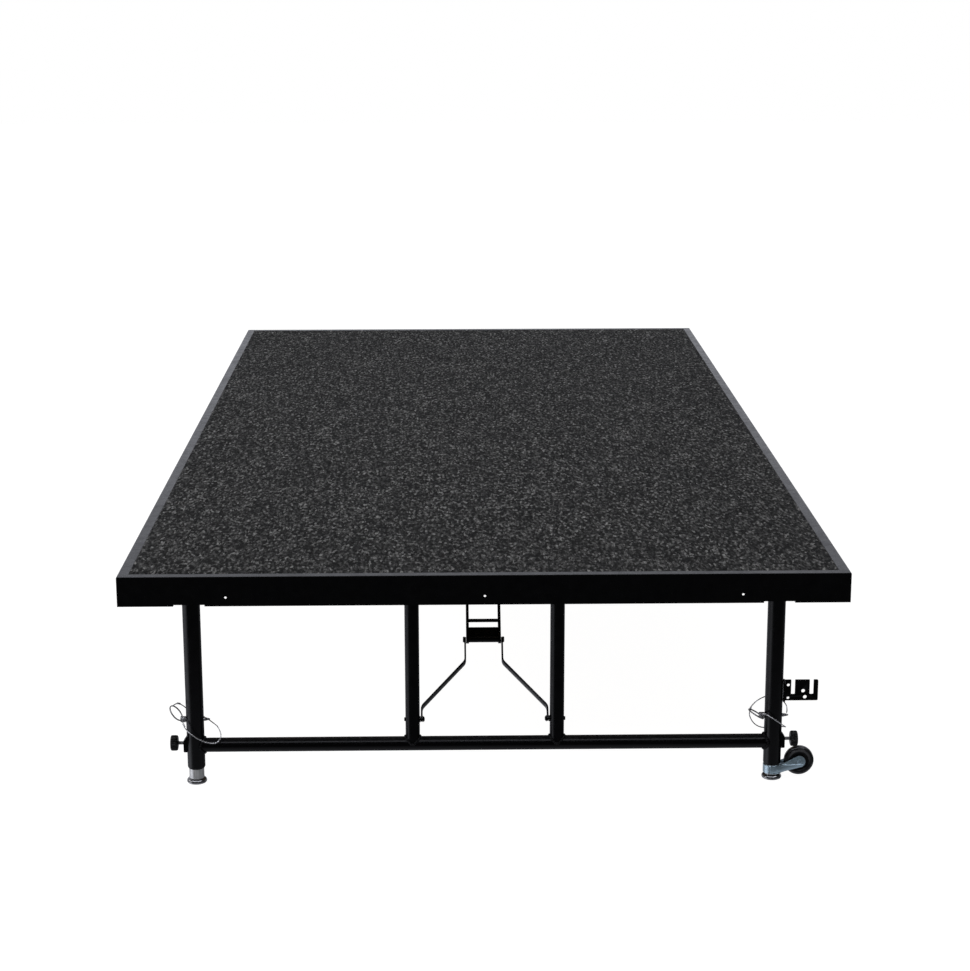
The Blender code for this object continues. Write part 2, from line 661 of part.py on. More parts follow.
def lower_bar(name, end, side, parent):
    """A bent flat bar, from an inner leg's bolt to one side of the elbow, trimmed round at its ends."""
    wide = INNER_LEG_X - STRUT_OD / 2 - GAP - BRACE_BAR_THICKNESS / 2
    narrow = ARM_SPAN / 2 + SPACER - BRACE_BAR_THICKNESS / 2
    tip = BRACE_BAR_WIDTH / 2
    path = [(wide, -tip - GAP), (wide, BRACE_SPREAD_START), (narrow, BRACE_SPREAD_END),
            (narrow, LOWER_LINK + tip + GAP)]
    line = filleted(path, BRACE_BEND_RADIUS, closed=False)
    loop = [(side * x, y) for x, y in strip(line, BRACE_BAR_THICKNESS)]
    place = Matrix.Translation(at(0, end, LEG_INSET, BRACE_PIVOT_HEIGHT)) @ facing(end, BRACE_ANGLE)
    obj = plate(name, [loop], BRACE_BAR_WIDTH + 2 * GAP, place)
    ends = plate(f"{name}_ends", [stadium(0, LOWER_LINK, tip)], 3 * wide, place @ SIDE_VIEW)
    hole = rod(f"{name}_hole", BRACE_BOLT_DIAMETER / 2 + HOLE_PLAY, -2 * wide, 2 * wide,
               place @ AXIS_TO_X, FINE_SEGMENTS)
    combine(obj, "INTERSECT", ends)
    combine(obj, "DIFFERENCE", hole)
    face = ARM_SPAN / 2 + SPACER
    low, high = sorted((side * (face - BRACE_BAR_THICKNESS / 2), side * (face + BRACE_BAR_THICKNESS)))
    head = rod(f"{name}_head", ELBOW_ROD_DIAMETER / 2, low, high,
               place @ Matrix.Translation((0, LOWER_LINK, 0)) @ AXIS_TO_X, FINE_SEGMENTS)
    combine(obj, "UNION", head)
    return finish(obj, "black_paint", parent)


def strip(line, thickness):
    """A closed outline round a flat line, at half the thickness to each side."""
    left, right = [], []
    for index, here in enumerate(line):
        back = line[max(index - 1, 0)]
        ahead = line[min(index + 1, len(line) - 1)]
        first = (here - back).normalized() if index else (ahead - here).normalized()
        second = (ahead - here).normalized() if index < len(line) - 1 else first
        middle = (first + second).normalized()
        normal = Vector((-middle.y, middle.x)) * (thickness / 2) / middle.dot(first)
        left.append(here + normal)
        right.append(here - normal)
    return left + right[::-1]


def upper_link(name, end, parent):
    """Two arms joined by the elbow rod, a rung and the lock plate."""
    inner = ARM_SPAN / 2 - ARM_THICKNESS
    turn = facing(end, BRACE_ANGLE) @ Matrix.Rotation(math.pi, 4, "X")
    place = Matrix.Translation(at(0, end, BRACE_ANCHOR_INSET, PIVOT_HEIGHT)) @ turn
    arms = []
    for side in SIDES.values():
        arm = place @ Matrix.Translation((side * (inner + ARM_THICKNESS / 2), 0, 0)) @ SIDE_VIEW
        loops = [stadium(0, UPPER_LINK, ARM_WIDTH / 2), circle((0, 0), ARM_PIN_DIAMETER / 2 + HOLE_PLAY)]
        arms.append(plate(name, loops, ARM_THICKNESS, arm))
    obj = mesh_object(name, group_mesh(arms, place), place)
    middle = inner + ARM_THICKNESS / 2
    elbow = place @ Matrix.Translation((0, UPPER_LINK, 0)) @ AXIS_TO_X
    rung = place @ Matrix.Translation((0, UPPER_LINK - RUNG_FROM_ELBOW, 0)) @ AXIS_TO_X
    combine(obj, "UNION",
            rod(f"{name}_elbow", ELBOW_ROD_DIAMETER / 2, -middle, middle, elbow, FINE_SEGMENTS),
            rod(f"{name}_rung", RUNG_DIAMETER / 2, -middle, middle, rung, FINE_SEGMENTS))
    high = UPPER_LINK - LOCK_PLATE_START
    lock = box(f"{name}_lock", (-inner - GAP, high - LOCK_PLATE_LENGTH, -LOCK_PLATE_THICKNESS / 2),
               (inner + GAP, high, LOCK_PLATE_THICKNESS / 2))
    lock.matrix_world = place @ lock.matrix_world
    combine(obj, "UNION", lock)
    return finish(obj, "black_paint", parent)


def brace_anchor(name, end):
    """A channel under the board with the pin that the upper link turns on."""
    inner = ARM_SPAN / 2 + GAP
    outer = inner + BRACKET_THICKNESS
    web = UNDER_BOARD - BRACKET_THICKNESS
    low = PIVOT_HEIGHT - ANCHOR_LENGTH / 2
    channel = [(-outer, low), (-outer, UNDER_BOARD), (outer, UNDER_BOARD), (outer, low),
               (inner, low), (inner, web), (-inner, web), (-inner, low)]
    foot = at(0, end, BRACE_ANCHOR_INSET, 0)
    obj = plate(name, [channel], ANCHOR_LENGTH, Matrix.Translation(foot) @ FRONT_VIEW)
    pin = rod(f"{name}_pin", ARM_PIN_DIAMETER / 2, -outer - BRACKET_THICKNESS, outer + BRACKET_THICKNESS,
              Matrix.Translation(foot + Vector((0, 0, PIVOT_HEIGHT))) @ AXIS_TO_X, FINE_SEGMENTS)
    combine(obj, "UNION", pin)
    return finish(obj, "black_paint")


# Telescopic legs, pins, knobs and lanyards

def telescopic_leg(name, end, side, parent):
    """The inner tube, slotted on both sides so that it slides past the pin over its whole travel."""
    x = side * LEG_X
    radius = TELESCOPE_OD / 2
    place = Matrix.Translation(at(x, end, LEG_INSET, 0))
    obj = tube(name, radius, radius - TELESCOPE_WALL, GLIDE_HEIGHT + GAP, TELESCOPE_TOP, place)
    slot = stadium(PIN_HEIGHT, PIN_HEIGHT + TRAVEL, PIN_DIAMETER / 2 + HOLE_PLAY)
    combine(obj, "DIFFERENCE", plate(f"{name}_slot", [slot], 2 * TELESCOPE_OD, place @ UPRIGHT_VIEW))
    return finish(obj, "bright_steel", parent)


def foot_glide(name, end, side, parent):
    """A domed steel foot with a plug up the telescopic leg."""
    radius = GLIDE_DIAMETER / 2
    plug = TELESCOPE_OD / 2 - TELESCOPE_WALL - GAP
    edge = GLIDE_EDGE_RADIUS
    flat = [(plug, GLIDE_HEIGHT), (radius, GLIDE_HEIGHT), (radius, 0), (0, 0)]
    profile = [(0, GLIDE_HEIGHT + GLIDE_PLUG_LENGTH), (plug, GLIDE_HEIGHT + GLIDE_PLUG_LENGTH)]
    profile += [tuple(point) for point in filleted(flat, [0, edge, edge / 2, 0], 2, closed=False)]
    place = Matrix.Translation(at(side * LEG_X, end, LEG_INSET, 0))
    return finish(turned(name, profile, place), "bright_steel", parent)


def locking_pin(name, end, side, parent):
    """A pin whose head is on the left of either leg, with its pull ring."""
    radius = PIN_DIAMETER / 2
    head = PIN_HEAD_DIAMETER / 2
    tip = LEG_OD / 2 + PIN_OVERHANG
    seat = -LEG_OD / 2 - GAP
    end_face = seat - PIN_HEAD_LENGTH
    place = Matrix.Translation(at(side * LEG_X, end, LEG_INSET, PIN_HEIGHT))
    profile = ((0, tip), (radius / 3, tip), (radius, tip - PIN_TIP_LENGTH), (radius, seat),
               (head, seat), (head, end_face), (0, end_face))
    obj = turned(name, profile, place @ AXIS_TO_X, FINE_SEGMENTS)
    eye = Matrix.Translation((seat - RING_FROM_SEAT, 0, 0)) @ Matrix.Rotation(-RING_LEAN, 4, "Y")
    to_ring = eye @ Matrix.Translation((0, 0, RING_DIAMETER / 2)) @ AXIS_TO_Y
    wire = RING_WIRE / 2
    turns = [math.pi / 2 - 2 * math.pi * step / 5 for step in range(5)]
    section = [(RING_DIAMETER / 2 + wire * math.cos(t), wire * math.sin(t)) for t in turns]
    combine(obj, "UNION", turned(f"{name}_ring", section, place @ to_ring))
    return finish(obj, "bright_steel", parent)


def clamp_knob(name, end, side, parent):
    """A hand knob on a screw that presses on the telescopic leg."""
    radius = KNOB_DIAMETER / 2
    screw = CLAMP_SCREW_DIAMETER / 2
    hub = 2.1 * screw
    near = CLAMP_OUTER + KNOB_STAND_OFF
    far = near + KNOB_THICKNESS
    rim = filleted([(0, far), (radius, far), (radius, near), (hub, near)],
                   [0, KNOB_EDGE_RADIUS, KNOB_EDGE_RADIUS, 0], 2, closed=False)
    neck = near - KNOB_STAND_OFF / 4
    tip = TELESCOPE_OD / 2 + GAP
    profile = [tuple(point) for point in rim]
    profile += [(hub, neck), (screw, neck), (screw, tip), (0, tip)]
    turn = Matrix.Rotation(math.radians(90 * side), 4, "Y")
    place = Matrix.Translation(at(side * LEG_X, end, LEG_INSET, KNOB_HEIGHT)) @ turn
    return finish(turned(name, profile, place), "black_plastic", parent)


def smooth_line(points, step):
    """Points a step apart or a little less along a smooth curve through the given points."""
    line = [Vector(point) for point in points]
    padded = [2 * line[0] - line[1]] + line + [2 * line[-1] - line[-2]]
    dense = []
    for a, b, c, d in zip(padded, padded[1:], padded[2:], padded[3:]):
        for part in range(16):
            t = part / 16
            dense.append(0.5 * (2 * b + (c - a) * t + (2 * a - 5 * b + 4 * c - d) * t * t
                                + (3 * b - a - 3 * c + d) * t * t * t))
    dense.append(line[-1])
    lengths = [0.0]
    for first, second in zip(dense, dense[1:]):
        lengths.append(lengths[-1] + (second - first).length)
    count = math.ceil(lengths[-1] / step)
    result, index = [], 0
    for number in range(count + 1):
        target = lengths[-1] * number / count
        while index < len(dense) - 2 and lengths[index + 1] < target:
            index += 1
        share = (target - lengths[index]) / (lengths[index + 1] - lengths[index])
        result.append(dense[index].lerp(dense[index + 1], min(share, 1.0)))
    return result


def lanyard(name, end, side_name, parent):
    """A steel wire from the pin's head round the leg."""
    middle = at(SIDES[side_name] * LEG_X, end, LEG_INSET, 0)
    curve = bpy.data.curves.new(name, "CURVE")
    curve.dimensions = "3D"
    curve.bevel_depth = LANYARD_DIAMETER / 2
    curve.bevel_resolution = 2
    curve.use_fill_caps = True
    spline = curve.splines.new("POLY")
    points = smooth_line(LANYARD_ROUTES[side_name], LANYARD_STEP)
    spline.points.add(len(points) - 1)
    for point, (x, inset, z) in zip(spline.points, points):
        point.co = (x, -end * inset, z, 1)
    obj = bpy.data.objects.new(name, curve)
    obj.matrix_world = Matrix.Translation(middle)
    PARTS.objects.link(obj)
    return finish(obj, "bright_steel", parent)


# Wheel side

def wheel_fork(name, end, parent):
    """A band round the telescopic leg with two plates out to the wheel's axle."""
    foot = at(LEG_X, end, LEG_INSET, 0)
    bore = TELESCOPE_OD / 2 + GAP
    band = bore + FORK_BAND_THICKNESS
    place = Matrix.Translation(foot)
    obj = rod(name, band, FORK_BAND_BOTTOM, FORK_BAND_TOP, place)
    lean = math.atan2(WHEEL_HEIGHT - (FORK_BAND_BOTTOM + FORK_BAND_TOP) / 2, WHEEL_REACH)
    turns = [lean - math.pi / 2 + math.pi * step / 10 for step in range(11)]
    arm = [(0, FORK_BAND_TOP - GAP), (0, FORK_BAND_BOTTOM + GAP), (bore, FORK_BAND_BOTTOM + GAP)]
    arm += [(WHEEL_REACH + FORK_END_RADIUS * math.cos(t),
             WHEEL_HEIGHT + FORK_END_RADIUS * math.sin(t)) for t in turns]
    arm += [(band, FORK_BAND_TOP - GAP)]
    offset = WHEEL_WIDTH / 2 + FORK_PLAY + FORK_PLATE / 2
    for sign in (-1, 1):
        side = place @ Matrix.Translation((0, sign * offset, 0)) @ FRONT_VIEW
        combine(obj, "UNION", plate(f"{name}_plate", [arm], FORK_PLATE, side))
    half = offset + FORK_PLATE / 2 + BOLT_HEAD_HEIGHT / 3
    axle = rod(f"{name}_axle", AXLE_DIAMETER / 2, -half, half,
               place @ Matrix.Translation((WHEEL_REACH, 0, WHEEL_HEIGHT)) @ AXIS_TO_Y, FINE_SEGMENTS)
    combine(obj, "UNION", axle)
    combine(obj, "DIFFERENCE", rod(f"{name}_bore", bore, 0, 2 * FORK_BAND_TOP, place))
    return finish(obj, "zinc", parent)


def wheel(name, end, parent):
    """A wheel with a rounded tread and a hub recessed on both faces."""
    radius = WHEEL_DIAMETER / 2
    half = WHEEL_WIDTH / 2
    hole = AXLE_DIAMETER / 2 + HOLE_PLAY
    hub = HUB_DIAMETER / 2
    section = [(hub, half - HUB_RECESS), (hub + HUB_RECESS / 2, half), (radius, half), (radius, -half),
               (hub + HUB_RECESS / 2, -half), (hub, HUB_RECESS - half), (hole, HUB_RECESS - half),
               (hole, half - HUB_RECESS)]
    profile = filleted(section, [0, 0, TREAD_RADIUS, TREAD_RADIUS, 0, 0, 0, 0], 3)
    place = Matrix.Translation(at(WHEEL_X, end, LEG_INSET, WHEEL_HEIGHT)) @ AXIS_TO_Y
    return finish(turned(name, profile, place), "black_rubber", parent)


def slotted_plate(name, end, parent):
    """The plate with two open slots on the wheel side's leg, with its flange against the tube."""
    start = LEG_X + LEG_OD / 2 + GAP
    edge = [(GAP, 0), (PLATE_WIDTH, 0), (PLATE_WIDTH, PLATE_HEIGHT)]
    for centre in reversed(SLOT_CENTRES):
        floor = PLATE_HEIGHT - SLOT_DEPTH
        right, left = centre + SLOT_WIDTH / 2, centre - SLOT_WIDTH / 2
        edge += [(right, PLATE_HEIGHT), (right, floor), (left, floor), (left, PLATE_HEIGHT)]
    edge.append((GAP, PLATE_HEIGHT))
    corner = PLATE_CORNER_RADIUS
    radii = [0, corner, corner] + [corner / 2] * (len(edge) - 4) + [0]
    holes = [circle((x, y), radius) for x, y, radius in PLATE_HOLES]
    foot = at(start, end, LEG_INSET, PLATE_BOTTOM)
    obj = plate(name, [filleted(edge, radii, 2), *holes], PLATE_THICKNESS,
                Matrix.Translation(foot) @ FRONT_VIEW)
    flange = box(f"{name}_flange", (start, foot.y - PLATE_FLANGE_DEPTH / 2, foot.z + GAP),
                 (start + PLATE_THICKNESS, foot.y + PLATE_FLANGE_DEPTH / 2,
                  foot.z + PLATE_HEIGHT - GAP))
    combine(obj, "UNION", flange)
    return finish(obj, "black_paint", parent)


def leg_frame(end_name):
    """One end's folding frame, with the pieces that ride on it."""
    end = ENDS[end_name]
    frame = pivot(f"{end_name}_fold_axis", at(0, end, LEG_INSET, PIVOT_HEIGHT))
    lower_crossbar(f"lower_crossbar_{end_name}", end, frame)
    lower = pivot(f"{end_name}_lower_brace_axis", at(0, end, LEG_INSET, BRACE_PIVOT_HEIGHT), frame)
    upper = pivot(f"{end_name}_upper_brace_axis", at(0, end, BRACE_ANCHOR_INSET, PIVOT_HEIGHT))
    upper_link(f"brace_upper_link_{end_name}", end, upper)
    brace_anchor(f"brace_anchor_{end_name}", end)
    inner_pair = [(side * INNER_LEG_X, STRUT_OD) for side in SIDES.values()]
    pivot_bracket(f"centre_bracket_{end_name}", end, inner_pair)
    for side_name, side in SIDES.items():
        label = f"{end_name}_{side_name}"
        outer_leg(f"outer_leg_{label}", end, side, frame)
        inner_leg(f"inner_leg_{label}", end, side, frame)
        lower_bar(f"brace_lower_bar_{label}", end, side, lower)
        pivot_bracket(f"pivot_bracket_{label}", end, [(side * LEG_X, LEG_OD)])
        slide = pivot(f"{label}_slide_axis", at(side * LEG_X, end, LEG_INSET, 0), frame)
        telescopic_leg(f"telescopic_leg_{label}", end, side, slide)
        foot_glide(f"foot_glide_{label}", end, side, slide)
        locking_pin(f"locking_pin_{label}", end, side, frame)
        clamp_knob(f"clamp_knob_{label}", end, side, frame)
        lanyard(f"pin_lanyard_{label}", end, side_name, frame)
        if side_name == "right":
            wheel_fork(f"wheel_fork_{end_name}", end, slide)
            wheel(f"wheel_{end_name}", end, slide)
            slotted_plate(f"slotted_plate_{end_name}", end, frame)


def deck():
    deck_board("deck_board")
    carpet("carpet")
    for end_name, end in ENDS.items():
        end_rail(f"end_rail_{end_name}", end)
        for side_name, side in SIDES.items():
            side_rail(f"side_rail_{end_name}_{side_name}", end, side)
        cross_member(f"cross_member_{end_name}", end * CROSS_MEMBER_Y)


clear_scene()
PARTS = new_collection("adjustable_height_stage")
CUTTERS = new_collection("adjustable_height_stage_cutters")
deck()
for end_name in ENDS:
    leg_frame(end_name)
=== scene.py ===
"""The looks of the adjustable height stage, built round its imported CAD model. Metres, +Z up."""

import math

import bmesh
import bpy
from mathutils import Matrix, Vector, noise


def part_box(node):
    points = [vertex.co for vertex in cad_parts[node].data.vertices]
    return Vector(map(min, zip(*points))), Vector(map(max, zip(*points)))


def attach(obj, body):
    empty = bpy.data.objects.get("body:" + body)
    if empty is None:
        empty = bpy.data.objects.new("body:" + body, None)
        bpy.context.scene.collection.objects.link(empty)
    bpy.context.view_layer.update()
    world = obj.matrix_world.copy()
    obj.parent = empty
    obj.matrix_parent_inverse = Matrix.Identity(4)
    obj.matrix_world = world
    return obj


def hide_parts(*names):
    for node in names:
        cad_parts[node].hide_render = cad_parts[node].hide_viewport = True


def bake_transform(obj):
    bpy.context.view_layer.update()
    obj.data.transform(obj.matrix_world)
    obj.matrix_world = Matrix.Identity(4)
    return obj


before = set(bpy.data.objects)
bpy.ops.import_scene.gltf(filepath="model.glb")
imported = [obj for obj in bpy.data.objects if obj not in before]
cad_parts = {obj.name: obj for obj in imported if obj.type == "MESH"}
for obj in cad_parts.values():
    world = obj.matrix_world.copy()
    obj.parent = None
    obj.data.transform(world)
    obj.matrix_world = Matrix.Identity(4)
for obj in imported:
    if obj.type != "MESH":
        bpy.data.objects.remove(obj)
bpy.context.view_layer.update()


# Sizes that the solids also have

HALF_LENGTH = 1.2192
LEG_X = 0.491
LEG_Y = 1.1892
LEG_RADIUS = 0.015
LEG_BORE = 0.0131
LEG_TOP = 0.340
LEG_BOTTOM = 0.0265
INNER_LEG_X = 0.1225
STRUT_RADIUS = 0.0122
STRUT_BORE = 0.0106
CROSSBAR_Z = 0.0667
PIVOT_Z = 0.332
TELESCOPE_RADIUS = 0.0127
TELESCOPE_BORE = 0.0111
TELESCOPE_TOP = 0.3255
TRAVEL = 0.2032
PIN_Z = 0.113
PIN_RADIUS = 0.00315
PIN_SEAT = 0.0153
HOLE_PLAY = 0.0004
RING_RADIUS = 0.0145
RING_FROM_SEAT = 0.007
KNOB_Z = 0.0705
CLAMP_OUTER = 0.0205
KNOB_NEAR = 0.030
KNOB_THICKNESS = 0.0122
BRACE_Z = 0.110
ANCHOR_INSET = 0.272
LEG_INSET = 0.030
ARM_SPAN = 0.0606
ARM_THICKNESS = 0.005
BAR_WIDTH = 0.0127
BAR_THICKNESS = 0.003
BAR_BEND_RADIUS = 0.014
ELBOW_ROD_RADIUS = 0.005
RUNG_RADIUS = 0.0031
RUNG_FROM_ELBOW = 0.038
GAP = 0.0003
WHEEL_X = 0.537
WHEEL_Z = 0.0315
WHEEL_RADIUS = 0.0254
WHEEL_WIDTH = 0.014
FORK_BOTTOM = 0.0112
FORK_TOP = 0.0254
FORK_END_RADIUS = 0.0103
FORK_PLATE = 0.002
PLATE_BOTTOM = 0.139
PLATE_WIDTH = 0.0595
PLATE_HEIGHT = 0.037
PLATE_THICKNESS = 0.003
SLOT_DEPTH = 0.0258
SLOT_CENTRES = (0.0484, 0.0169)


# Sizes that only the finished pieces have

RING_LEAN = {"left": math.radians(40), "right": math.radians(66)}
RING_TURN = {"left": math.radians(82), "right": math.radians(70)}
RING_YAW = {"left": 0, "right": math.radians(-50)}
RING_WIRE = 0.00085
BAR_BENDS = (0.022, 0.110)
BAR_WASHER = 0.0015
BRACE_BOLT = (0.0084, 0.0026)
LEG_BOLT = (0.0060, 0.0029)
BEAD_RIPPLES = 34
SLOT_HALF_WIDTH = 0.0033


# The brace's links, from the places of its pivots

RISE = PIVOT_Z - BRACE_Z
RUN = ANCHOR_INSET - LEG_INSET
REACH = math.hypot(RISE, RUN)
BRACE_ANGLE = math.atan2(RISE, RUN)
LOWER_LINK = (REACH - RUN + RISE) / 2
UPPER_LINK = REACH - LOWER_LINK

ENDS = {"front": -1, "rear": 1}
SIDES = {"left": -1, "right": 1}

AXIS_TO_X = Matrix.Rotation(math.radians(90), 4, "Y")
AXIS_TO_Y = Matrix.Rotation(math.radians(-90), 4, "X")
FRONT_VIEW = Matrix.Rotation(math.radians(90), 4, "X")
SIDE_VIEW = Matrix(((0, 0, 1, 0), (1, 0, 0, 0), (0, 1, 0, 0), (0, 0, 0, 1)))


def new_object(name, data):
    """A new object, linked to the scene."""
    obj = bpy.data.objects.new(name, data)
    bpy.context.scene.collection.objects.link(obj)
    return obj


# Camera, fitted to the deck's corners and the legs in the photograph

CAMERA_PLACE = (-0.0591, -4.61628, 1.36006)
CAMERA_TURN = (math.radians(1.003), math.radians(13.807), math.radians(0.077))
CAMERA_LENS = 79.25


def photo_camera():
    """A camera that is yawed to the right, pitched down and then rolled."""
    yaw, pitch, roll = CAMERA_TURN
    forward = Vector((math.sin(yaw) * math.cos(pitch), math.cos(yaw) * math.cos(pitch),
                      -math.sin(pitch)))
    right = Vector((math.cos(yaw), -math.sin(yaw), 0))
    down = forward.cross(right)
    across = math.cos(roll) * right + math.sin(roll) * down
    up = math.sin(roll) * right - math.cos(roll) * down
    data = bpy.data.cameras.new("photo_camera")
    data.lens = CAMERA_LENS
    data.sensor_width = 36
    data.sensor_fit = "HORIZONTAL"
    data.clip_end = 60
    turn = Matrix((across, up, -forward)).transposed().to_4x4()
    camera = new_object("photo_camera", data)
    camera.matrix_world = Matrix.Translation(CAMERA_PLACE) @ turn
    bpy.context.scene.camera = camera


photo_camera()


# Mesh tools

def in_pairs(rings, closed):
    """Each ring with the next one, and the last with the first on a closed form."""
    pairs = list(zip(rings, rings[1:]))
    if closed:
        pairs.append((rings[-1], rings[0]))
    return pairs


def full_turn(count):
    """Angles evenly round a circle."""
    return [2 * math.pi * step / count for step in range(count)]


def lathe(shape, profile, place, segments=48, closed=False, flutes=(0, 0, 0)):
    """Add a turned profile of (radius, height) points; flutes are a count, a depth and a least radius."""
    rings = []
    count, depth, least = flutes
    for radius, height in profile:
        if radius < 1e-6:
            rings.append([shape.verts.new(place @ Vector((0, 0, height)))])
            continue
        ring = []
        for turn in full_turn(segments):
            reach = radius
            if count and radius > least:
                reach -= depth * (0.5 - 0.5 * math.cos(count * turn)) ** 2
            point = Vector((reach * math.cos(turn), reach * math.sin(turn), height))
            ring.append(shape.verts.new(place @ point))
        rings.append(ring)
    for first, second in in_pairs(rings, closed):
        for i in range(segments):
            j = (i + 1) % segments
            if len(first) == 1:
                shape.faces.new((first[0], second[j], second[i]))
            elif len(second) == 1:
                shape.faces.new((first[i], first[j], second[0]))
            else:
                shape.faces.new((first[i], first[j], second[j], second[i]))


def frames_along(points, closed=False):
    """A direction and a normal that turns as little as possible at each point of a line."""
    count = len(points)
    result, normal = [], None
    for i, here in enumerate(points):
        ahead = points[(i + 1) % count] if closed or i < count - 1 else here
        back = points[i - 1] if closed or i else here
        along = (ahead - back).normalized()
        if normal is None:
            normal = along.orthogonal().normalized()
        normal = (normal - along * normal.dot(along)).normalized()
        result.append((along, normal))
    return result


def sweep(shape, points, radius_at, sides=12, closed=False):
    """Add a tube along a line; radius_at takes the share of the line and the angle round it."""
    rings = []
    count = len(points)
    for i, (here, (along, normal)) in enumerate(zip(points, frames_along(points, closed))):
        other = along.cross(normal)
        ring = []
        for turn in full_turn(sides):
            radius = radius_at(i / count, turn)
            ring.append(shape.verts.new(here + radius * (math.cos(turn) * normal
                                                         + math.sin(turn) * other)))
        rings.append(ring)
    for first, second in in_pairs(rings, closed):
        for i in range(sides):
            j = (i + 1) % sides
            shape.faces.new((first[i], first[j], second[j], second[i]))
    if not closed:
        shape.faces.new(rings[0])
        shape.faces.new(rings[-1][::-1])


def evaluated(obj):
    """The object's mesh as its curve settings or modifiers make it."""
    bpy.context.view_layer.update()
    graph = bpy.context.evaluated_depsgraph_get()
    return bpy.data.meshes.new_from_object(obj.evaluated_get(graph))


def take_in(shape, mesh):
    """Add a mesh to the shape; the mesh is used up."""
    shape.from_mesh(mesh)
    bpy.data.meshes.remove(mesh)


def slab(shape, loops, thickness, place, bevel=0.0004):
    """Add flat loops, holes among them, thickened evenly about local Z = 0 with rounded edges."""
    curve = bpy.data.curves.new("slab", "CURVE")
    curve.dimensions = "2D"
    curve.fill_mode = "BOTH"
    curve.extrude = thickness / 2 - bevel
    curve.bevel_depth = bevel
    curve.bevel_resolution = 1
    curve.offset = -bevel
    for loop in loops:
        spline = curve.splines.new("POLY")
        spline.points.add(len(loop) - 1)
        for point, (x, y) in zip(spline.points, loop):
            point.co = (x, y, 0, 1)
        spline.use_cyclic_u = True
    holder = new_object("slab", curve)
    mesh = evaluated(holder)
    mesh.transform(place)
    take_in(shape, mesh)
    bpy.data.objects.remove(holder, do_unlink=True)
    bmesh.ops.remove_doubles(shape, verts=shape.verts, dist=0.000002)


def circle(centre, radius, segments=28):
    """A round outline."""
    return [(centre[0] + radius * math.cos(turn), centre[1] + radius * math.sin(turn))
            for turn in full_turn(segments)]


def stadium(start, end, radius, steps=16):
    """An outline along local Y with half-round ends, drawn as (along, across) points."""
    loop = []
    for centre, turn in ((end, -math.pi / 2), (start, math.pi / 2)):
        for step in range(steps + 1):
            angle = turn + math.pi * step / steps
            loop.append((centre + radius * math.cos(angle), radius * math.sin(angle)))
    return loop


def filleted(points, radius, steps=6, closed=True):
    """Replace each corner of a flat line with an arc; radius is one value or one for each point."""
    count = len(points)
    radii = radius if isinstance(radius, (list, tuple)) else [radius] * count
    result = []
    for index, corner in enumerate(points):
        inside = closed or 0 < index < count - 1
        here = Vector(corner)
        if not inside or radii[index] == 0:
            result.append(here)
            continue
        back = (Vector(points[index - 1]) - here).normalized()
        ahead = (Vector(points[(index + 1) % count]) - here).normalized()
        half = back.angle(ahead) / 2
        centre = here + (back + ahead).normalized() * radii[index] / math.sin(half)
        reach = radii[index] / math.tan(half)
        first = here + back * reach - centre
        last = here + ahead * reach - centre
        start = math.atan2(first.y, first.x)
        turn = (math.atan2(last.y, last.x) - start + math.pi) % (2 * math.pi) - math.pi
        for step in range(steps + 1):
            angle = start + turn * step / steps
            result.append(centre + radii[index] * Vector((math.cos(angle), math.sin(angle))))
    return result


def strip(line, thickness):
    """A closed outline round a flat line, at half the thickness to each side."""
    left, right = [], []
    for index, here in enumerate(line):
        back = line[max(index - 1, 0)]
        ahead = line[min(index + 1, len(line) - 1)]
        first = (here - back).normalized() if index else (ahead - here).normalized()
        second = (ahead - here).normalized() if index < len(line) - 1 else first
        middle = (first + second).normalized()
        normal = Vector((-middle.y, middle.x)) * (thickness / 2) / middle.dot(first)
        left.append(here + normal)
        right.append(here - normal)
    return left + right[::-1]


def bolt_head(shape, place, across, height):
    """Add a hexagon head on a washer, from local Z = 0 up."""
    radius = across / math.sqrt(3)
    washer = 0.0008
    lathe(shape, [(0, washer), (radius * 1.12, washer), (radius * 1.16, washer / 2),
                  (radius * 1.12, 0), (0, 0)], place, 32)
    lathe(shape, [(0, height), (radius * 0.84, height), (radius, height - radius * 0.14),
                  (radius, washer), (0, washer)], place, 6)


def plain_mesh(name, shape):
    """A mesh of the shape, which is used up."""
    mesh = bpy.data.meshes.new(name)
    shape.to_mesh(mesh)
    shape.free()
    return mesh


def loose_mesh(name, shape, angle=35):
    """A smooth mesh with its edges sharp past an angle; the shape is used up."""
    bmesh.ops.recalc_face_normals(shape, faces=shape.faces)
    mesh = plain_mesh(name, shape)
    mesh.shade_smooth()
    mesh.set_sharp_from_angle(angle=math.radians(angle))
    return mesh


def piece(name, shape, finish, body, nodes=(), angle=35):
    """A finished piece of the object, which rides on a body and may stand for CAD nodes."""
    material, slot = FINISHES[finish]
    obj = new_object(name, loose_mesh(name, shape, angle))
    obj.data.materials.append(material)
    if body:
        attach(obj, body)
    if nodes:
        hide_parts(*nodes)
    return obj


def carved(shape, *cutters):
    """The shape with closed cutter shapes taken away."""
    obj = new_object("carved", loose_mesh("carved", shape))
    tools = []
    for cutter in cutters:
        tool = new_object("cutter", loose_mesh("cutter", cutter))
        step = obj.modifiers.new("cut", "BOOLEAN")
        step.operation = "DIFFERENCE"
        step.object = tool
        tools.append(tool)
    result = bmesh.new()
    take_in(result, evaluated(obj))
    for used in (obj, *tools):
        bpy.data.objects.remove(used, do_unlink=True)
    return result


def shift(x, y, z):
    """The matrix that places a shape at a point."""
    return Matrix.Translation((x, y, z))


def leg_place(end, side, z=0.0, x=LEG_X):
    """The place of a leg's axis, at a height."""
    return shift(side * x, end * LEG_Y, z)


def outwards(side):
    """The rotation from local Z to the direction away from the deck's middle."""
    return Matrix.Rotation(math.radians(90 * side), 4, "Y")


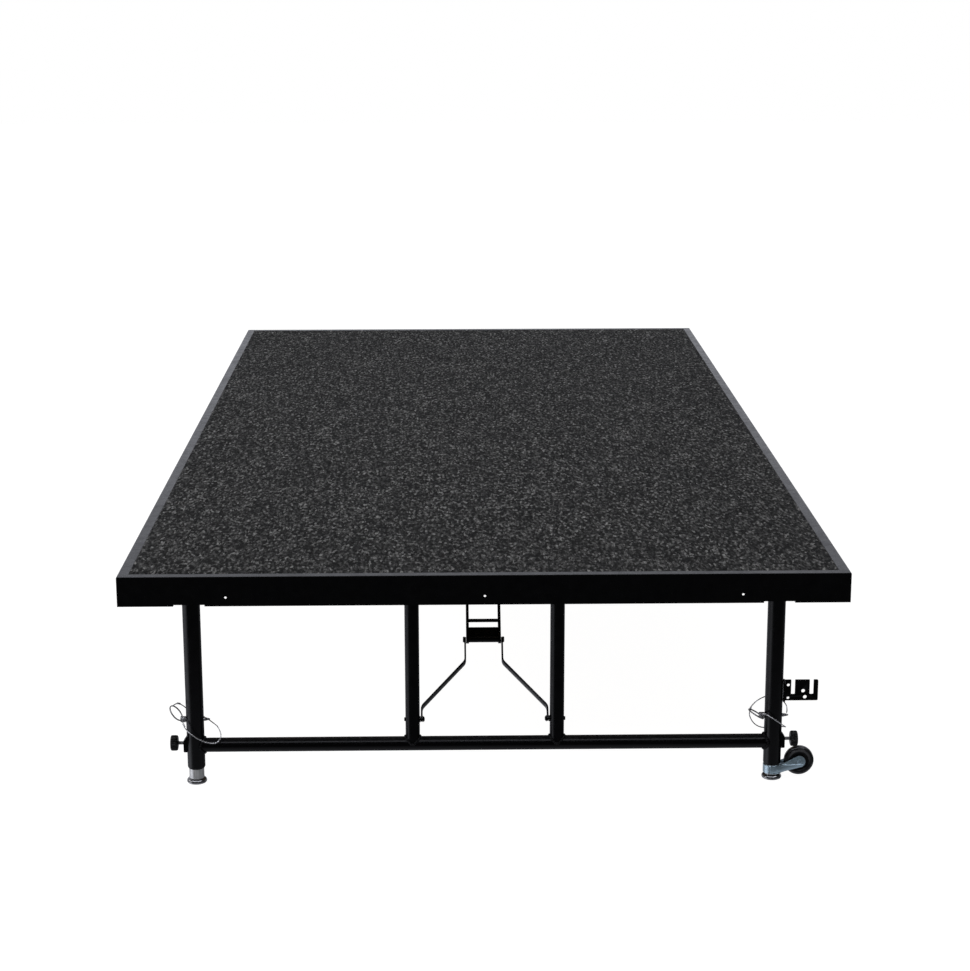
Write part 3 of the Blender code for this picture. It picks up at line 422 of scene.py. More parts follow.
def pin_hole(end, side, z):
    """A cutter for the pin's hole through a tube."""
    reach = 0.02
    radius = PIN_RADIUS + HOLE_PLAY
    hole = bmesh.new()
    lathe(hole, [(0, reach), (radius, reach), (radius, -reach), (0, -reach)],
          leg_place(end, side, z) @ AXIS_TO_X, 28)
    return hole


# Materials

def add(tree, kind, inputs=(), **settings):
    """Add a node; its inputs may be values or other nodes' sockets."""
    made = tree.nodes.new(kind)
    for name, value in settings.items():
        setattr(made, name, value)
    for name, value in dict(inputs).items():
        if isinstance(value, bpy.types.NodeSocket):
            tree.links.new(value, made.inputs[name])
        else:
            made.inputs[name].default_value = value
    return made


def as_color(value):
    """A grey or a colour as four numbers; a socket stays as it is."""
    if isinstance(value, bpy.types.NodeSocket):
        return value
    rgb = (value,) * 3 if isinstance(value, (int, float)) else value
    return (*rgb, 1)


def ramp(tree, factor, stops):
    """A colour ramp; a stop is its place and a grey or a colour."""
    made = add(tree, "ShaderNodeValToRGB", {"Fac": factor})
    line = made.color_ramp.elements
    while len(line) < len(stops):
        line.new(0.5)
    for element, (place, color) in zip(line, stops):
        element.position = place
        element.color = as_color(color)
    return made.outputs["Color"]


def grain(tree, vector, scale, detail=2.0, roughness=0.5):
    """A cloudy noise, finer as its scale grows."""
    return add(tree, "ShaderNodeTexNoise", {"Vector": vector, "Scale": scale, "Detail": detail,
                                            "Roughness": roughness}).outputs["Fac"]


def blended(tree, factor, first, second, kind="MIX"):
    """A mix of two colours."""
    inputs = {0: factor, 6: as_color(first), 7: as_color(second)}
    return add(tree, "ShaderNodeMix", inputs, data_type="RGBA", blend_type=kind).outputs[2]


def spread(tree, value, low, high, start=0.0, end=1.0):
    """Map a value from start..end to low..high."""
    return add(tree, "ShaderNodeMapRange", {"Value": value, "From Min": start, "From Max": end,
                                            "To Min": low, "To Max": high}).outputs["Result"]


def combined(tree, kind, *values):
    """The values put together, one after the other, by a kind of math."""
    result = values[0]
    for value in values[1:]:
        result = add(tree, "ShaderNodeMath", {0: result, 1: value}, operation=kind).outputs[0]
    return result


def bumped(tree, shader, height, strength, distance):
    """Give the shader a bump from a height."""
    made = add(tree, "ShaderNodeBump", {"Height": height, "Strength": strength, "Distance": distance})
    tree.links.new(made.outputs["Normal"], shader.inputs["Normal"])


def new_finish(name, metallic=0.0, specular=0.5):
    """A material, its node tree and shader, and the place on the object as a vector."""
    material = bpy.data.materials.new(name)
    material.use_nodes = True
    tree = material.node_tree
    shader = tree.nodes["Principled BSDF"]
    shader.inputs["Metallic"].default_value = metallic
    shader.inputs["Specular IOR Level"].default_value = specular
    where = add(tree, "ShaderNodeTexCoord").outputs["Object"]
    return material, tree, shader, where


def stretched(tree, where, scale):
    """The place on the object, scaled along each axis."""
    return add(tree, "ShaderNodeMapping", {"Vector": where, "Scale": scale}).outputs["Vector"]


def black_paint():
    """Satin powder coat: fine orange peel, a painted sheen that lightens up-facing faces, and a few
    scuffs.
    """
    material, tree, shader, where = new_finish("black_powder_coat", specular=0.055)
    cloud = grain(tree, where, 22, 3)
    dark = blended(tree, cloud, (0.0005, 0.0005, 0.0006), (0.0010, 0.0010, 0.0012))
    scuff = ramp(tree, grain(tree, stretched(tree, where, (1, 1, 0.35)), 150, 7, 0.65),
                 [(0.0, 0.0), (0.69, 0.0), (0.76, 1.0)])
    dark = blended(tree, scuff, dark, (0.010, 0.010, 0.011))
    # Painted sheen: up-facing faces are mixed towards a mottled grey, standing in for the bright studio
    # reflected on top faces.
    normal = add(tree, "ShaderNodeNewGeometry").outputs["Normal"]
    upwards = add(tree, "ShaderNodeSeparateXYZ", {"Vector": normal}).outputs["Z"]
    painted_top_sheen = spread(tree, upwards, 0.0, 1.0, 0.75, 1.0)
    mottle = spread(tree, grain(tree, where, 260, 5), 0.45, 1.0, 0.35, 0.62)
    sheen_painted_color = blended(tree, combined(tree, "MULTIPLY", painted_top_sheen, mottle), dark, (0.020, 0.0205, 0.023))
    tree.links.new(sheen_painted_color, shader.inputs["Base Color"])
    tree.links.new(spread(tree, grain(tree, where, 60, 4), 0.20, 0.34, 0.3, 0.7),
                   shader.inputs["Roughness"])
    bumped(tree, shader, grain(tree, where, 900, 2), 0.10, 0.0002)
    return material


def carpet_pile():
    """Charcoal heather: dark yarn with lighter flecks, and a short rough pile."""
    material, tree, shader, where = new_finish("heather_carpet", specular=0.05)
    brushed = stretched(tree, where, (1, 0.36, 1))
    cell = add(tree, "ShaderNodeTexVoronoi", {"Vector": brushed, "Scale": 260.0, "Randomness": 1.0})
    tone = add(tree, "ShaderNodeSeparateColor", {"Color": cell.outputs["Color"]}).outputs["Red"]
    yarn = ramp(tree, tone, [(0.0, 0.0055), (0.30, 0.0150), (0.58, 0.0320), (0.82, 0.062),
                             (1.0, 0.135)])
    clump = ramp(tree, grain(tree, brushed, 215, 3, 0.6),
                 [(0.36, 0.30), (0.50, 1.00), (0.64, 2.30)])
    heather = blended(tree, 1.0, yarn, clump, "MULTIPLY")
    fibre = ramp(tree, grain(tree, where, 1300, 2), [(0.30, 0.70), (0.70, 1.25)])
    heather = blended(tree, 1.0, heather, fibre, "MULTIPLY")
    worn = ramp(tree, grain(tree, where, 5, 4), [(0.30, 0.93), (0.70, 1.07)])
    tree.links.new(blended(tree, 1.0, heather, worn, "MULTIPLY"), shader.inputs["Base Color"])
    shader.inputs["Roughness"].default_value = 0.96
    height = blended(tree, 0.5, grain(tree, where, 420, 3, 0.7), grain(tree, where, 1300, 2))
    bumped(tree, shader, height, 0.8, 0.0012)
    return material


def plywood():
    """Bare birch ply underside with a long grain."""
    material, tree, shader, where = new_finish("plywood", specular=0.3)
    figure = grain(tree, stretched(tree, where, (60, 1.6, 60)), 1.6, 6, 0.6)
    wood = ramp(tree, figure, [(0.30, (0.34, 0.22, 0.12)), (0.52, (0.50, 0.36, 0.21)),
                               (0.70, (0.58, 0.43, 0.27))])
    tree.links.new(wood, shader.inputs["Base Color"])
    shader.inputs["Roughness"].default_value = 0.7
    bumped(tree, shader, figure, 0.25, 0.0006)
    return material


def plated(name, low, high, rough, streak, metallic, peel=0.04):
    """Plated or bare steel, streaked along Z by a drawn finish."""
    material, tree, shader, where = new_finish(name, metallic=metallic)
    lines = grain(tree, stretched(tree, where, (1, 1, streak)), 900, 4, 0.6)
    cloud = grain(tree, where, 90, 4)
    mixed = blended(tree, 0.4, lines, cloud)
    tree.links.new(ramp(tree, mixed, [(0.32, low), (0.68, high)]), shader.inputs["Base Color"])
    tree.links.new(spread(tree, mixed, rough * 0.75, rough * 1.35, 0.3, 0.7), shader.inputs["Roughness"])
    bumped(tree, shader, lines, peel, 0.0002)
    return material


def moulded(name, tone, rough, specular, scale):
    """Moulded plastic or rubber with a fine matte texture and a little wear."""
    material, tree, shader, where = new_finish(name, specular=specular)
    cloud = grain(tree, where, 130, 5, 0.6)
    color = ramp(tree, cloud, [(0.35, tone), (0.62, tone * 1.5), (0.78, tone * 3.5)])
    tree.links.new(color, shader.inputs["Base Color"])
    tree.links.new(spread(tree, cloud, rough * 0.9, rough * 1.15, 0.3, 0.7), shader.inputs["Roughness"])
    bumped(tree, shader, grain(tree, where, scale, 2), 0.25, 0.0002)
    return material


# Each finish is a material and the name of its slot

FINISHES = {
    "paint": (black_paint(), "black_paint"),
    "carpet": (carpet_pile(), "carpet"),
    "plywood": (plywood(), "plywood"),
    "chrome": (plated("chromed_tube", (0.20, 0.205, 0.21), (0.46, 0.465, 0.47), 0.36, 0.012, 0.25),
               "chromed_tube"),
    "bright": (plated("bright_chrome", (0.05, 0.05, 0.053), (0.15, 0.15, 0.153), 0.12, 1.0, 0.8),
               "chromed_tube"),
    "steel": (plated("steel_wire", (0.16, 0.16, 0.165), (0.36, 0.36, 0.365), 0.32, 1.0, 0.6, 0.12),
              "steel_wire"),
    "pin": (plated("pin_steel", (0.05, 0.05, 0.052), (0.17, 0.17, 0.173), 0.28, 1.0, 0.6, 0.12),
            "steel_wire"),
    "zinc": (plated("blue_zinc", (0.14, 0.19, 0.225), (0.24, 0.32, 0.37), 0.34, 1.0, 0.5, 0.10),
             "zinc_plate"),
    "plastic": (moulded("knob_plastic", 0.0022, 0.40, 0.09, 1400), "knob_plastic"),
    "rubber": (moulded("wheel_rubber", 0.0014, 0.30, 0.28, 1100), "wheel_rubber"),
}


# Lanyards: points across from the leg's centre, inwards from the leg's plane, and above the floor

LANYARD_DIAMETER = 0.0018
LANYARD_STEP = 0.0054
CABLE_STEP = 0.0006
CABLE_LAY = 0.009
LANYARD_ROUTES = {
    "left": ((-0.0200, -0.0056, 0.1122), (-0.0196, -0.0095, 0.1108), (-0.0176, -0.0135, 0.1070),
             (-0.0132, -0.0190, 0.1010), (-0.0040, -0.0225, 0.0935), (0.0078, -0.0220, 0.0848),
             (0.0195, -0.0190, 0.0785), (0.0300, -0.0170, 0.0755), (0.0392, -0.0150, 0.0775),
             (0.0440, -0.0090, 0.0870), (0.0385, -0.0010, 0.0985), (0.0294, 0.0060, 0.1042),
             (0.0205, 0.0120, 0.1082), (0.0090, 0.0170, 0.1135), (-0.0040, 0.0178, 0.1190),
             (-0.0140, 0.0168, 0.1250), (-0.0220, 0.0145, 0.1325), (-0.0280, 0.0110, 0.1372),
             (-0.0314, 0.0060, 0.1386), (-0.0345, 0.0020, 0.1382), (-0.0385, 0.0008, 0.1358)),
    "right": ((-0.0205, -0.0045, 0.1172), (-0.0198, -0.0090, 0.1192), (-0.0172, -0.0135, 0.1198),
              (-0.0110, -0.0180, 0.1180), (-0.0010, -0.0203, 0.1122), (0.0098, -0.0188, 0.1040),
              (0.0175, -0.0135, 0.0975), (0.0208, -0.0050, 0.0930), (0.0190, 0.0060, 0.0895),
              (0.0130, 0.0138, 0.0865), (0.0030, 0.0177, 0.0845), (-0.0080, 0.0173, 0.0840),
              (-0.0180, 0.0140, 0.0860), (-0.0280, 0.0100, 0.0920), (-0.0355, 0.0078, 0.1010),
              (-0.0395, 0.0072, 0.1120), (-0.0375, 0.0072, 0.1240), (-0.0300, 0.0088, 0.1330),
              (-0.0190, 0.0125, 0.1390), (-0.0070, 0.0173, 0.1410), (0.0050, 0.0175, 0.1390),
              (0.0160, 0.0140, 0.1345), (0.0225, 0.0070, 0.1285), (0.0235, 0.0015, 0.1215),
              (0.0226, 0.0000, 0.1162)),
}
CRIMPS = {
    "left": ((-0.0176, -0.0135, 0.1070), (-0.0280, 0.0110, 0.1372)),
    "right": ((-0.0150, -0.0155, 0.1192), (-0.0385, 0.0074, 0.1200)),
}


def smooth_line(points, step):
    """Points a step apart or a little less along a smooth curve through the given points."""
    line = [Vector(point) for point in points]
    padded = [2 * line[0] - line[1]] + line + [2 * line[-1] - line[-2]]
    dense = []
    for a, b, c, d in zip(padded, padded[1:], padded[2:], padded[3:]):
        for part in range(16):
            t = part / 16
            dense.append(0.5 * (2 * b + (c - a) * t + (2 * a - 5 * b + 4 * c - d) * t * t
                                + (3 * b - a - 3 * c + d) * t * t * t))
    dense.append(line[-1])
    lengths = [0.0]
    for first, second in zip(dense, dense[1:]):
        lengths.append(lengths[-1] + (second - first).length)
    count = math.ceil(lengths[-1] / step)
    result, index = [], 0
    for number in range(count + 1):
        target = lengths[-1] * number / count
        while index < len(dense) - 2 and lengths[index + 1] < target:
            index += 1
        share = (target - lengths[index]) / (lengths[index + 1] - lengths[index])
        result.append(dense[index].lerp(dense[index + 1], min(share, 1.0)))
    return result


def line_length(points):
    """The length of a line through its points."""
    return sum((second - first).length for first, second in zip(points, points[1:]))


def lanyard(end_name, side_name):
    """A twisted steel cable round the leg, and its crimped sleeves, which follow the pulled pin."""
    end, side = ENDS[end_name], SIDES[side_name]
    label = f"{end_name}_{side_name}"
    to_world = leg_place(end, side)
    path, fine = ([to_world @ Vector((p.x, -end * p.y, p.z))
                   for p in smooth_line(LANYARD_ROUTES[side_name], step)]
                  for step in (LANYARD_STEP, CABLE_STEP))
    turns = line_length(fine) / CABLE_LAY * 2 * math.pi
    shape = bmesh.new()
    sweep(shape, fine, lambda share, turn: LANYARD_DIAMETER / 2 * (
        0.96 + 0.10 * abs(math.cos(3 * turn + share * turns))), 14)
    cable = piece(f"lanyard_{label}", shape, "steel", None, [f"pin_lanyard_{label}"])
    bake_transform(cable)
    sleeves = bmesh.new()
    for mark in CRIMPS[side_name]:
        aim = to_world @ Vector((mark[0], -end * mark[1], mark[2]))
        index = min(range(1, len(path) - 1), key=lambda k: (path[k] - aim).length)
        run = (path[index + 1] - path[index - 1]).normalized()
        turn = run.to_track_quat("Z", "Y").to_matrix().to_4x4()
        place = Matrix.Translation(path[index]) @ turn
        lathe(sleeves, [(0, 0.0036), (0.0011, 0.0036), (0.00165, 0.0030), (0.00165, 0.0011),
                        (0.00135, 0.0006), (0.00135, -0.0006), (0.00165, -0.0011),
                        (0.00165, -0.0030), (0.0011, -0.0036), (0, -0.0036)], place, 20)
    crimps = piece(f"lanyard_sleeves_{label}", sleeves, "steel", f"pin_{label}")


for end_name in ENDS:
    for side_name in SIDES:
        lanyard(end_name, side_name)


# Deck

def carpet():
    """The carpet as one fine sheet with rolled edges and a slightly uneven pile."""
    low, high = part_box("carpet")
    step = 0.007
    across = math.ceil((high.x - low.x) / step)
    along = math.ceil((high.y - low.y) / step)
    edge_width, edge_drop, wave_depth, pile_depth = 0.006, 0.0006, 0.00022, 0.00026
    shape = bmesh.new()
    grid = []
    for j in range(along + 1):
        row = []
        for i in range(across + 1):
            x = low.x + (high.x - low.x) * i / across
            y = low.y + (high.y - low.y) * j / along
            edge = min(x - low.x, high.x - x, y - low.y, high.y - y)
            roll = edge_drop * max(0.0, 1 - edge / edge_width) ** 2
            wave = wave_depth * noise.noise(Vector((x * 9, y * 9, 0)))
            pile = pile_depth * noise.noise(Vector((x * 140, y * 140, 4)))
            z = high.z - roll - GAP + wave + pile
            row.append(shape.verts.new((x, y, min(high.z, z))))
        grid.append(row)
    for first, second in zip(grid, grid[1:]):
        for i in range(across):
            shape.faces.new((first[i], first[i + 1], second[i + 1], second[i]))
    border = [row[0] for row in grid[::-1]] + grid[0][1:] + [row[-1] for row in grid[1:]]
    border += grid[-1][-2:0:-1]
    foot = [shape.verts.new((v.co.x, v.co.y, low.z)) for v in border]
    count = len(border)
    for i in range(count):
        j = (i + 1) % count
        shape.faces.new((border[i], foot[i], foot[j], border[j]))
    shape.faces.new(foot[::-1])
    piece("carpet_sheet", shape, "carpet", "deck", ["carpet"], 60)


carpet()


# Leg frames

def outer_leg(end_name, side_name):
    """The leg tube with its pin hole and clamp boss."""
    end, side = ENDS[end_name], SIDES[side_name]
    place = leg_place(end, side)
    tube = bmesh.new()
    lathe(tube, [(LEG_BORE, LEG_TOP), (LEG_RADIUS - 0.0003, LEG_TOP), (LEG_RADIUS, LEG_TOP - 0.0003),
                 (LEG_RADIUS, 0.0296), (0.0148, 0.0288), (0.0137, 0.0268), (0.0135, LEG_BOTTOM),
                 (LEG_BORE, LEG_BOTTOM)], place, 64, closed=True)
    shape = carved(tube, pin_hole(end, side, PIN_Z))
    inside, bottom, top, wide = 0.0128, 0.0553, 0.0818, 0.013
    boss = [(inside, bottom), (0.0196, bottom), (CLAMP_OUTER, 0.0566), (CLAMP_OUTER, 0.0748),
            (0.0160, top), (inside, top)]
    slab(shape, [filleted([(side * x, z) for x, z in boss], 0.0004, 2)], wide,
         place @ FRONT_VIEW, 0.0008)
    piece(f"leg_tube_{end_name}_{side_name}", shape, "paint", f"leg_frame_{end_name}",
          [f"outer_leg_{end_name}_{side_name}"])


def inner_leg(end_name, side_name):
    """An inner tube that meets the crossbar in a saddle, with its brace bolt."""
    end, side = ENDS[end_name], SIDES[side_name]
    place = leg_place(end, side, 0, INNER_LEG_X)
    shape = bmesh.new()
    lathe(shape, [(STRUT_BORE, LEG_TOP), (STRUT_RADIUS, LEG_TOP), (STRUT_RADIUS, CROSSBAR_Z),
                  (STRUT_BORE, CROSSBAR_Z)], place, 56, closed=True)
    halfway, overlap = LEG_TOP / 2, 0.0007
    for vertex in shape.verts:
        if vertex.co.z < halfway:
            off = vertex.co.y - end * LEG_Y
            vertex.co.z = CROSSBAR_Z + math.sqrt(max(STRUT_RADIUS ** 2 - off ** 2, 0)) - overlap
    bolt = shift(side * INNER_LEG_X, end * LEG_Y, BRACE_Z) @ outwards(side)
    bolt_head(shape, bolt @ shift(0, 0, STRUT_RADIUS - 0.0008), *LEG_BOLT)
    washer, stud = 0.0052, 0.0029
    inner = STRUT_RADIUS + BAR_THICKNESS + BAR_WASHER + 2 * GAP
    lathe(shape, [(0, -STRUT_RADIUS + 0.002), (washer, -STRUT_RADIUS + 0.002),
                  (washer, -STRUT_RADIUS - BAR_WASHER), (stud, -STRUT_RADIUS - BAR_WASHER),
                  (stud, -inner - 0.0028), (stud - 0.0005, -inner - 0.0033),
                  (0, -inner - 0.0033)], bolt, 20)
    bolt_head(shape, bolt @ shift(0, 0, -inner) @ Matrix.Rotation(math.pi, 4, "X"), *BRACE_BOLT)
    piece(f"inner_tube_{end_name}_{side_name}", shape, "paint", f"leg_frame_{end_name}",
          [f"inner_leg_{end_name}_{side_name}"])


def crossbar(end_name):
    """The lower crossbar, its ends in saddles on the outer legs."""
    end = ENDS[end_name]
    shape = bmesh.new()
    place = shift(0, end * LEG_Y, CROSSBAR_Z) @ AXIS_TO_X
    outside = [(STRUT_RADIUS, LEG_X * (k / 8)) for k in range(8, -9, -1)]
    lathe(shape, [(STRUT_BORE, LEG_X)] + outside + [(STRUT_BORE, -LEG_X)], place, 56, closed=True)
    overlap = 0.0009
    for vertex in shape.verts:
        if abs(vertex.co.x) > LEG_X - 0.001:
            off = vertex.co.y - end * LEG_Y
            reach = LEG_X - math.sqrt((LEG_RADIUS - overlap) ** 2 - off ** 2)
            vertex.co.x = math.copysign(reach, vertex.co.x)
    piece(f"crossbar_tube_{end_name}", shape, "paint", f"leg_frame_{end_name}",
          [f"lower_crossbar_{end_name}"])


def welds(end_name):
    """Rippled weld beads where the crossbar meets the four legs."""
    end = ENDS[end_name]
    shape = bmesh.new()
    y = end * LEG_Y
    bead = STRUT_RADIUS + 0.0005
    outer_bead, inner_bead, steps = 0.0024, 0.0020, 140

    def ripple(base):
        return lambda share, turn: base * (1 + 0.16 * math.sin(2 * math.pi * BEAD_RIPPLES * share))

    for side in SIDES.values():
        outer, inner = [], []
        for turn in full_turn(steps):
            across, rise = bead * math.cos(turn), bead * math.sin(turn)
            reach = math.sqrt((LEG_RADIUS + 0.0006) ** 2 - across ** 2)
            outer.append(Vector((side * (LEG_X - reach), y + across, CROSSBAR_Z + rise)))
            inner.append(Vector((side * INNER_LEG_X + across, y + rise,
                                 CROSSBAR_Z + max(abs(across), 0.0022))))
        sweep(shape, outer, ripple(outer_bead), 10, closed=True)
        sweep(shape, inner, ripple(inner_bead), 10, closed=True)
    piece(f"weld_beads_{end_name}", shape, "paint", f"leg_frame_{end_name}", angle=60)


def telescopic_leg(end_name, side_name):
    """The chromed inner tube with a pin hole through it for each of the two heights."""
    end, side = ENDS[end_name], SIDES[side_name]
    label = f"{end_name}_{side_name}"
    place = leg_place(end, side)
    bottom, chamfer = 0.0088, 0.0003
    tube = bmesh.new()
    lathe(tube, [(TELESCOPE_BORE, TELESCOPE_TOP), (TELESCOPE_RADIUS - chamfer, TELESCOPE_TOP),
                 (TELESCOPE_RADIUS, TELESCOPE_TOP - chamfer), (TELESCOPE_RADIUS, 0.0092),
                 (TELESCOPE_RADIUS - chamfer, bottom), (TELESCOPE_BORE, bottom)],
          place, 64, closed=True)
    holes = [pin_hole(end, side, z) for z in (PIN_Z, PIN_Z + TRAVEL)]
    piece(f"inner_slide_{label}", carved(tube, *holes), "chrome", f"telescope_{label}",
          [f"telescopic_leg_{label}"])
    shape = bmesh.new()
    plug = [(0, 0.0225), (0.0100, 0.0225), (0.0108, 0.0215), (0.0108, 0.0087)]
    dish = [(0.0128, 0.0085), (0.0137, 0.0080), (0.0155, 0.0070), (0.0167, 0.0052), (0.0170, 0.0038),
            (0.0168, 0.0022), (0.0158, 0.0008), (0.0140, 0.0000), (0, 0)]
    lathe(shape, plug + dish, place, 64)
    piece(f"glide_dish_{label}", shape, "bright", f"telescope_{label}", [f"foot_glide_{label}"], 50)


def locking_pin(end_name, side_name):
    """The pin: knurled head, ribbed tapered tip, and a split ring of two turns."""
    end, side = ENDS[end_name], SIDES[side_name]
    label = f"{end_name}_{side_name}"
    place = leg_place(end, side, PIN_Z)
    along = place @ AXIS_TO_X
    shape = bmesh.new()
    lathe(shape, [(0, 0.0254), (0.0010, 0.0254), (0.0014, 0.0250), (0.0014, 0.0238), (0.0020, 0.0234),
                  (0.0017, 0.0222), (0.0024, 0.0217), (0.0021, 0.0204), (0.0028, 0.0198),
                  (0.0025, 0.0186), (PIN_RADIUS, 0.0176), (PIN_RADIUS, -PIN_SEAT), (0, -PIN_SEAT)],
          along, 32)
    head, seat = 0.00525, -PIN_SEAT
    lathe(shape, [(0, seat), (head - 0.0006, seat), (head, seat - 0.0006), (head, seat - 0.0084),
                  (head - 0.0006, seat - 0.0090), (0.0028, seat - 0.0090), (0.0024, seat - 0.0085),
                  (0, seat - 0.0085)], along, 96, flutes=(24, 0.00035, head - 0.0003))
    eye = (place @ shift(seat - RING_FROM_SEAT, 0, 0)
           @ Matrix.Rotation(end * RING_YAW[side_name], 4, "Z")
           @ Matrix.Rotation(-RING_LEAN[side_name], 4, "Y")
           @ Matrix.Rotation(-end * RING_TURN[side_name], 4, "Z"))
    middle = eye @ shift(0, 0, RING_RADIUS)
    turns, steps = 1.92, 150
    line = []
    for step in range(steps + 1):
        share = step / steps
        turn = 2 * math.pi * turns * share - math.pi / 2 + 0.25
        line.append(middle @ Vector((RING_RADIUS * math.cos(turn), RING_WIRE * (2 * share - 1),
                                     RING_RADIUS * math.sin(turn))))
    sweep(shape, line, lambda share, turn: RING_WIRE, 10)
    piece(f"pull_pin_{label}", shape, "pin", f"pin_{label}", [f"locking_pin_{label}"], 40)


def clamp_knob(end_name, side_name):
    """A fluted hand knob with a dished face, on a threaded screw."""
    end, side = ENDS[end_name], SIDES[side_name]
    label = f"{end_name}_{side_name}"
    place = leg_place(end, side, KNOB_Z) @ outwards(side)
    near, far = KNOB_NEAR, KNOB_NEAR + KNOB_THICKNESS
    shape = bmesh.new()
    dish = [(0, far - 0.0006), (0.0052, far - 0.0006), (0.0058, far - 0.0020), (0.0094, far - 0.0020),
            (0.0102, far - 0.0004)]
    rim = [(0.0110, far), (0.0121, far - 0.0003), (0.0129, far - 0.0012), (0.0132, far - 0.0028),
           (0.0132, near + 0.0030), (0.0128, near + 0.0012), (0.0118, near + 0.0003)]
    collar = [(0.0104, near), (0.0042, near), (0.0040, near - 0.0008), (0, near - 0.0008)]
    lathe(shape, dish + rim + collar, place, 120, flutes=(20, 0.0009, 0.0112))
    piece(f"hand_knob_{label}", shape, "plastic", f"knob_{label}", [f"clamp_knob_{label}"], 50)
    screw = bmesh.new()
    low, pitch = TELESCOPE_RADIUS + GAP, 0.001
    profile = [(0, near - 0.0006)]
    for turn in range(int((near - 0.001 - low) / pitch)):
        z = near - 0.001 - turn * pitch
        profile += [(0.0026, z), (0.0031, z - pitch / 2)]
    profile += [(0.0022, low + 0.0002), (0.0018, low), (0, low)]
    lathe(screw, profile, place, 24)
    piece(f"knob_screw_{label}", screw, "steel", f"knob_{label}")


# Folding brace

def facing(end, angle):
    """The rotation about X that turns local Y to an angle above the inward direction."""
    return Matrix.Rotation(angle if end < 0 else math.pi - angle, 4, "X")


def rounded_ends(bar, place, tip):
    """Pull the corners of a bar's ends in, so that both ends are half round across its width."""
    back, margin = place.inverted(), 0.0015
    for vertex in bar.verts:
        local = back @ vertex.co
        off = min(abs(local.z), tip)
        short = tip - math.sqrt(max(tip ** 2 - off ** 2, 0))
        if local.y < -tip + margin:
            local.y += short
        elif local.y > LOWER_LINK + tip - margin:
            local.y -= short
        vertex.co = place @ local
    return bar


def lower_bars(end_name):
    """The bent flat bars of the brace, with a bolt head at each end of the elbow."""
    end = ENDS[end_name]
    wide = INNER_LEG_X - STRUT_RADIUS - BAR_WASHER - GAP - BAR_THICKNESS / 2
    narrow = ARM_SPAN / 2 + GAP + BAR_THICKNESS / 2
    tip = BAR_WIDTH / 2
    place = shift(0, end * LEG_Y, BRACE_Z) @ facing(end, BRACE_ANGLE)
    for side_name, side in SIDES.items():
        path = [(wide, -tip), (wide, BAR_BENDS[0]), (narrow, BAR_BENDS[1]), (narrow, LOWER_LINK + tip)]
        line = filleted(path, BAR_BEND_RADIUS, 10, closed=False)
        bar = bmesh.new()
        loop = [(side * x, y) for x, y in strip(line, BAR_THICKNESS)]
        slab(bar, [loop], BAR_WIDTH, place, 0.0003)
        shape = rounded_ends(bar, place, tip)
        elbow = place @ shift(0, LOWER_LINK, 0) @ outwards(side)
        face = ARM_SPAN / 2 + GAP + BAR_THICKNESS
        bolt_head(shape, elbow @ shift(0, 0, face - 0.0002), *BRACE_BOLT)
        piece(f"brace_bar_{end_name}_{side_name}", shape, "paint", f"lower_brace_{end_name}",
              [f"brace_lower_bar_{end_name}_{side_name}"])


def upper_link(end_name):
    """The upper half of the brace: two arms, elbow rod, rung and the lipped lock plate."""
    end = ENDS[end_name]
    inner = ARM_SPAN / 2 - ARM_THICKNESS
    turn = facing(end, BRACE_ANGLE) @ Matrix.Rotation(math.pi, 4, "X")
    place = shift(0, end * (HALF_LENGTH - ANCHOR_INSET), PIVOT_Z) @ turn
    shape = bmesh.new()
    for side in SIDES.values():
        arm = place @ shift(side * (inner + ARM_THICKNESS / 2), 0, 0) @ SIDE_VIEW
        outline = [stadium(0, UPPER_LINK, 0.007), circle((0, 0), 0.0044)]
        slab(shape, outline, ARM_THICKNESS, arm, 0.0005)
    middle = inner + 0.001
    for y, radius in ((UPPER_LINK, ELBOW_ROD_RADIUS), (UPPER_LINK - RUNG_FROM_ELBOW, RUNG_RADIUS)):
        rod = place @ shift(0, y, 0) @ AXIS_TO_X
        lathe(shape, [(0, middle), (radius, middle), (radius, -middle), (0, -middle)], rod, 32)
    high = UPPER_LINK - 0.0045
    low = high - 0.019
    section = [(low, -0.002), (high - 0.0012, -0.002), (high, -0.0014), (high, 0.002),
               (high - 0.0018, 0.002), (high - 0.0024, 0.0012), (low, 0.0012)]
    slab(shape, [section], 2 * middle, place @ SIDE_VIEW, 0.0002)
    piece(f"brace_link_{end_name}", shape, "paint", f"upper_brace_{end_name}",
          [f"brace_upper_link_{end_name}"])


# Wheel side

